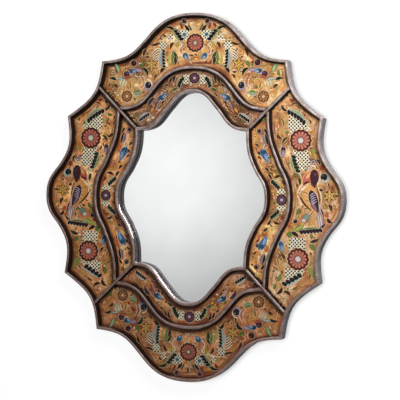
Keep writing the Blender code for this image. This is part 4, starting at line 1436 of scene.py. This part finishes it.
def paint_outer_sideways(p):
    """The whole right panel of the outer band."""
    # the upper corner
    p.leaves(
        ((203, 208), (216, 195), 7, UMBER, BLACK, -0.15), ((220, 220), (231, 208), 6, BRICK, BROWN, 0.25),
        ((226, 206), (240, 212), 5, UMBER, BRICK, 0.25))
    p.net(((221, 187), (219, 160), (229, 143), (262, 150), (268, 157), (262, 166), (250, 172)))
    p.toothed((216, 195), (258, 168), 6, 8.5, BLACK, MINT, 11, 1, 0.06)
    p.stem((262, 176), (266, 154), 3.2, MINT, -0.15, 0.6)
    p.leaves(
        ((194, 143), (206, 134), 8, BROWN, UMBER, -0.12), ((207, 124), (221, 138), 7, UMBER, OLIVE, 0.16),
        ((203, 178), (208, 160), 6, OLIVE, GREEN, 0.15))
    p.scrolls(((207, 150), 8, YELLOW, 170, -1), ((273, 160), 5, PEACH, 20, 1), ((214, 168), 5, GOLD, 20, 1))
    p.net(((230, 114), (244, 67), (268, 67), (271, 84), (263, 112)))
    p.rosette((248, 131), 25, *RED_FLOWER)
    p.bud((209, 119), (209, 90), 12, MAUVE, LILAC, PLUM * 0.8)
    p.stem((209, 92), (213, 74), 2.0, YELLOW)
    p.toothed((231, 99), (244, 60), 5, 8.5, PINE * 0.6, LIME, 10, -1, -0.03)
    p.stem((246, 60), (251, 44), 4.0, MINT, 0.1)
    p.leaves(
        ((245, 50), (248, 32), 7.5, PINE * 0.7, OLIVE, 0.1), ((272, 112), (280, 102), 8, GREEN, LIME, 0.1),
        ((266, 108), (272, 98), 5, YELLOW, GOLD, 0.1))
    paint_bird(p)
    # berry, star and leaves beside the bird
    p.berry((302, 52), 8, BLACK, ICE, TEAL)
    p.scrolls(((296, 42), 6, CREAM, 60, -1), ((306, 38), 6, PEACH, 150, 1))
    p.star((315, 11), 13)
    p.leaves(
        ((292, 25), (301, 22), 7, UMBER, BROWN, 0), ((326, 10), (337, 11), 6, BROWN, UMBER, 0.1),
        ((304, -10), (312, -16), 5, GOLD, BROWN, -0.2), ((313, -8), (319, -23), 8, UMBER, BROWN, 0.2),
        ((312, -37), (323, -47), 8, UMBER, MAROON, -0.2), ((308, -26), (316, -34), 6, SALMON, BRICK, -0.2))
    # the lower middle
    p.leaves(
        ((249, -17), (241, -30), 7, GREEN, OLIVE, 0.15), ((246, -30), (240, -38), 6, LIME, GREEN, 0.15))
    p.berry((240, -46), 5, BLACK, TAN)
    p.disc((262, -40), 25, SALMON * 0.7, TAN, lobes=8, depth=0.25, count=40)
    p.blob((265, -36), 17, 15, SAGE * 0.8, SAGE * 0.5, turn=20, lobes=6, depth=0.2, count=30)
    p.blob((259, -44), 10, 9, ASH, SAGE)
    p.toothed((250, -69), (301, -63), 7, 8, PLUM * 0.5, GREEN, 8, 1)
    p.leaves(
        ((258, -54), (232, -66), 10, LIME, GREEN, 0.10), ((224, -70), (228, -84), 9, GREEN, FERN, 0.1),
        ((232, -71), (248, -81), 9, BLACK, PINE, 0.1), ((274, -90), (294, -82), 8, PINE, MAROON, -0.1),
        ((273, -97), (284, -110), 8, GREEN, FERN, 0.12))
    p.stem((224, -84), (222, -106), 2.4, YELLOW, 0.12)
    p.stem((262, -92), (278, -88), 2.0, SALMON, 0.15)
    p.net(((228, -82), (226, -110), (264, -110), (262, -82)))
    p.bud((206, -90), (215, -116), 12, BLUE, SKY, TEAL * 0.6)
    p.leaf((210, -119), (217, -132), 7, UMBER, MAROON, 0.15)
    p.net(((219, -150), (240, -148), (264, -152), (262, -160), (222, -184)))
    p.rosette((248, -129), 25, *RED_FLOWER)
    p.leaves(
        ((198, -128), (203, -146), 6, BROWN, GOLD, 0.15), ((205, -180), (213, -163), 7, GREEN, OLIVE, 0.12),
        ((270, -146), (284, -172), 9, GREEN, LIME, 0.12))
    p.scrolls(
        ((210, -148), 8, YELLOW, 190, 1), ((270, -178), 6, PEACH, 100, 1), ((282, -126), 5, GOLD, 100, 1))
    # the lower corner
    p.toothed((257, -163), (215, -188), 5, 9.5, BLACK, ICE, 9, 1)
    p.leaves(
        ((213, -192), (200, -207), 8, BLACK, UMBER, 0.2), ((217, -202), (233, -211), 8, UMBER, BROWN, 0.2),
        ((236, -196), (250, -186), 6, OLIVE, BROWN, -0.15))


def paint_inner_upright(p):
    """The right half of the top panel of the inner band."""
    p.net(((13, 276), (14, 256), (24, 254), (31, 264), (26, 276)), FINE_PITCH)
    p.toothed((26, 270), (38, 247), 4, 7.5, PINE * 0.6, LIME, 6, 1, 0.1)
    p.leaves(
        ((45, 273), (50, 258), 8, PLUM, MAROON * 0.6, 0.15),
        ((52, 269), (58, 254), 7, MAROON * 0.6, BROWN, 0.15), ((41, 245), (52, 237), 7, FERN, PINE, 0.1),
        ((62, 254), (70, 248), 6, UMBER, BROWN, 0.1), ((76, 206), (82, 202), 5, UMBER, BROWN, 0.1),
        ((71, 217), (76, 208), 6, MAROON * 0.5, BROWN, 0.1))
    p.beads((54, 246), (60, 238), 0.1, 4, 2.4, YELLOW)
    p.bud((86, 221), (64, 234), 13, BLUE * 0.7, SKY, TEAL * 0.5, 0.08)
    p.beads((80, 218), (90, 196), 0.05, 7, 3.0, LILAC)
    p.beads((84, 218), (93, 200), 0.05, 6, 2.4, BLACK)
    p.leaves(
        ((94, 223), (108, 203), 10, PLUM * 0.8, MAUVE * 0.5, 0.15),
        ((86, 195), (94, 190), 5, BROWN, BRICK, 0), ((95, 200), (102, 191), 6, ORANGE, GOLD, 0.1))
    p.toothed((106, 188), (131, 172), 5, 6, BLACK, ICE, 7, 1)
    p.scrolls(((116, 203), 5, GOLD, 0, 1), ((61, 243), 4, YELLOW, 0, 1))


def paint_inner_sideways(p):
    """The upper half of the right panel of the inner band."""
    p.net(((197, 26), (198, 8), (217, 8), (218, 22)), FINE_PITCH)
    p.toothed((184, 42), (203, 25), 4, 7.5, PINE * 0.6, LIME, 7, 1)
    p.leaves(
        ((191, 47), (206, 52), 7, MAROON * 0.7, UMBER, 0.15), ((176, 56), (184, 43), 6, UMBER, BLACK, 0.1),
        ((168, 70), (177, 61), 7, MAROON, PURPLE, 0.1), ((206, 42), (214, 32), 5, BRICK, BROWN, 0.1),
        ((150, 94), (160, 87), 6, BROWN, BRICK, 0.1), ((144, 121), (153, 114), 6, BROWN, UMBER, 0.2),
        ((164, 155), (171, 143), 6, UMBER, BLACK, 0.1))
    p.scrolls(((185, 66), 7, YELLOW, 120, 1), ((196, 62), 5, LIME, 20, -1), ((160, 136), 6, LILAC, 90, -1))
    p.blob((176, 108), 10, 16, ORANGE, BRICK)
    p.bud((158, 112), (175, 79), 16, BLUE, SKY, TEAL * 0.6, 0.05)
    p.berry((154, 103), 3.5, BLACK, TEAL)
    p.stem((166, 122), (162, 108), 2.6, ICE)
    p.split_leaf((171, 121), (166, 146), 13, MAUVE, PINE * 0.6, 0.05)
    p.beads((156, 140), (158, 126), 0.1, 5, 2.6)
    p.berry((153, 151), 5, MAROON * 0.6, MAUVE)


def paint_panels():
    """Each panel's streaks, its motifs with their mirror images, its middle flower and the small strokes."""
    for side, along in ((UPRIGHT, 1), (SIDEWAYS, 0)):
        edges = panel_edges(side).values()
        for name, sign in zip(side.names, (1, -1) if along else (-1, 1)):
            outer, inner = (Paint(panel_outline(far, near, TURN[name])) for far, near in edges)
            outer.streaks(OUTER_STREAKS)
            inner.streaks(INNER_STREAKS)
            for other in (1, -1):
                outer.flip = inner.flip = vec(other, sign) if along else vec(sign, other)
                if along:
                    paint_outer_upright(outer)
                    paint_inner_upright(inner)
                elif other == 1:
                    paint_outer_sideways(outer)
                    paint_inner_sideways(inner)
                else:
                    paint_inner_sideways(inner)
            if along:
                outer.rosette((0, 347), 21, *MIDDLE_FLOWER)
                inner.rosette((0, 268), 13, *PURPLE_FLOWER, petals=10)
            else:
                inner.rosette((208, 0), 13, *PURPLE_FLOWER, petals=10)
            outer.fill(OUTER_FILLS, OUTER_MARGIN)
            inner.fill(INNER_FILLS, INNER_MARGIN)
            outer.finish("outer_" + name)
            inner.finish("inner_" + name)


paint_panels()


# Stage, light and camera

WALL_GAP = 0.009
WALL_TOP = 3
BACKDROP_HALF = 4
FLOOR_DROP = 0.95
FLOOR_REACH = 1.2
BACKDROP_GLOW = 0.95
BACKDROP_GREY = (0.14, 0.14, 0.14, 1.0)
# Near the object the backdrop's glow dims by ambient occlusion: a painted contact shadow
CONTACT_REACH = 0.014
CONTACT_SAMPLES = 8
CONTACT_CLOSED = 0.4
CONTACT_DARK = 0.25
WHITE = (1.0, 1.0, 1.0, 1.0)

KEY_PLACE = (0.62, -1.05, 0.57)
KEY_TARGET = (0, 0, 0.05)
KEY_SIZE = 0.5
KEY_POWER = 17.2
REAR_PLACE = (0.6, 2.4, 1.0)
REAR_TARGET = (0, 0, 0)
REAR_SIZE = 1.6
REAR_POWER = 105

# The room that the mirror and the glosses show: a glow in one direction, and levels above and to the sides
GLOW_WAY = Vector((-0.330, -0.944, 0.008)).normalized()
GLOW_SPREAD = math.radians(6.0)
GLOW_POWER = 1.6
GLOW_PEAK = 1.07
GLOW_EDGE = 0.51
GLOW_ROOM = (math.cos(math.radians(21)), math.cos(math.radians(14)))
ROOM_HIGH = 1.15
HIGH_REACH = (0.27, 0.42)
ROOM_LOW = 0.13
ROOM_DARK = 0.02
RIGHT_REACH = (0.35, 0.80)
ROOM_LEFT = 0.8
LEFT_REACH = (-0.60, -0.95)
AMBIENT = 0.06

CAMERA_PLACE = Vector((0.990169, -3.0005, 0.039423))
CAMERA_RIGHT = Vector((0.950548, 0.309806, 0.021881))
CAMERA_UP = Vector((-0.025186, 0.006671, 0.999661))
CAMERA_BACK = Vector((0.309555, -0.950776, 0.014144))
LENS = 126.0
SENSOR_WIDTH = 36.0


def backdrop_material(name, seen_from_behind):
    """White to the eye, with the object's shadow on it and a painted contact shadow close to it; light passes
    it on its way elsewhere.
    """
    n = Nodes(name)
    n.tree.nodes.remove(n.shader)
    open_sky = n.add("AmbientOcclusion", {"Distance": CONTACT_REACH}, samples=CONTACT_SAMPLES)
    level = n.spread(open_sky.outputs["AO"], CONTACT_CLOSED, 1.0, CONTACT_DARK, BACKDROP_GLOW)
    glow = n.add("Emission", {"Color": WHITE, "Strength": level})
    matt = n.add("BsdfDiffuse", {"Color": BACKDROP_GREY})
    white = n.add("AddShader", {0: glow.outputs[0], 1: matt.outputs[0]})
    clear = n.add("BsdfTransparent")
    rays = n.add("LightPath").outputs
    eye = n.largest(rays["Is Camera Ray"], rays["Is Glossy Ray"], rays["Is Transmission Ray"])
    if not seen_from_behind:
        front = n.math("SUBTRACT", 1.0, n.add("NewGeometry").outputs["Backfacing"])
        eye = n.math("MULTIPLY", eye, front)
    shown = n.either(eye, clear.outputs[0], white.outputs[0])
    n.tree.links.new(shown, n.tree.nodes["Material Output"].inputs["Surface"])
    return n.made


def add_plane(name, corners, material):
    new_object(name, corners, [tuple(range(4))], material)


def add_area(name, place, target, size, power):
    data = bpy.data.lights.new(name, "AREA")
    data.shape = "RECTANGLE"
    data.size = size
    data.size_y = size
    data.energy = power
    lamp = bpy.data.objects.new(name, data)
    lamp.location = place
    way = Vector(target) - Vector(place)
    lamp.rotation_euler = way.to_track_quat("-Z", "Y").to_euler()
    bpy.context.scene.collection.objects.link(lamp)


def set_world():
    """White to the eye, a dim even room for diffuse light, and a soft room for reflections."""
    n = Nodes("studio", bpy.data.worlds)
    bpy.context.scene.world = n.made
    n.tree.nodes.remove(n.tree.nodes["Background"])

    def background(strength):
        return n.add("Background", {"Color": WHITE, "Strength": strength}).outputs[0]

    way = n.add("TexCoord").outputs["Generated"]
    toward = n.toward(way, GLOW_WAY)
    parts = n.parts(way)
    peak = n.math("POWER", n.spread(toward, math.cos(GLOW_SPREAD), 1.0, 0.0, 1.0), GLOW_POWER)
    glow = n.spread(peak, 0.0, 1.0, 0.0, GLOW_PEAK - GLOW_EDGE)
    near = n.fade(toward, *GLOW_ROOM, 0.0, GLOW_EDGE)
    above = n.fade(parts["Z"], *HIGH_REACH, 0.0, ROOM_HIGH)
    right = n.fade(parts["X"], *RIGHT_REACH, ROOM_LOW, ROOM_DARK)
    left = n.fade(parts["X"], *LEFT_REACH, 0.0, ROOM_LEFT)
    most = n.largest(n.math("ADD", glow, near), above, right, left)
    rays = n.add("LightPath").outputs
    reflected = n.either(rays["Is Glossy Ray"], background(AMBIENT), background(most))
    seen = n.either(rays["Is Camera Ray"], reflected, background(1.0))
    n.tree.links.new(seen, n.tree.nodes["World Output"].inputs["Surface"])


def add_camera():
    data = bpy.data.cameras.new("camera")
    data.lens = LENS
    data.sensor_width = SENSOR_WIDTH
    camera = bpy.data.objects.new("camera", data)
    turn = Matrix((CAMERA_RIGHT, CAMERA_UP, CAMERA_BACK)).transposed().to_4x4()
    camera.matrix_world = Matrix.Translation(CAMERA_PLACE) @ turn
    bpy.context.scene.collection.objects.link(camera)
    bpy.context.scene.camera = camera


wall = [(side * BACKDROP_HALF, WALL_GAP, z) for side, z in (
    (-1, -FLOOR_DROP), (1, -FLOOR_DROP), (1, WALL_TOP), (-1, WALL_TOP))]
floor = [(side * BACKDROP_HALF, y, -FLOOR_DROP) for side, y in (
    (-1, -FLOOR_REACH), (1, -FLOOR_REACH), (1, BACKDROP_HALF), (-1, BACKDROP_HALF))]
add_plane("wall", wall, backdrop_material("wall_white", False))
add_plane("floor", floor, backdrop_material("floor_white", True))
add_area("key", KEY_PLACE, KEY_TARGET, KEY_SIZE, KEY_POWER)
add_area("rear", REAR_PLACE, REAR_TARGET, REAR_SIZE, REAR_POWER)
set_world()
add_camera()
bpy.context.scene.view_settings.view_transform = "Standard"
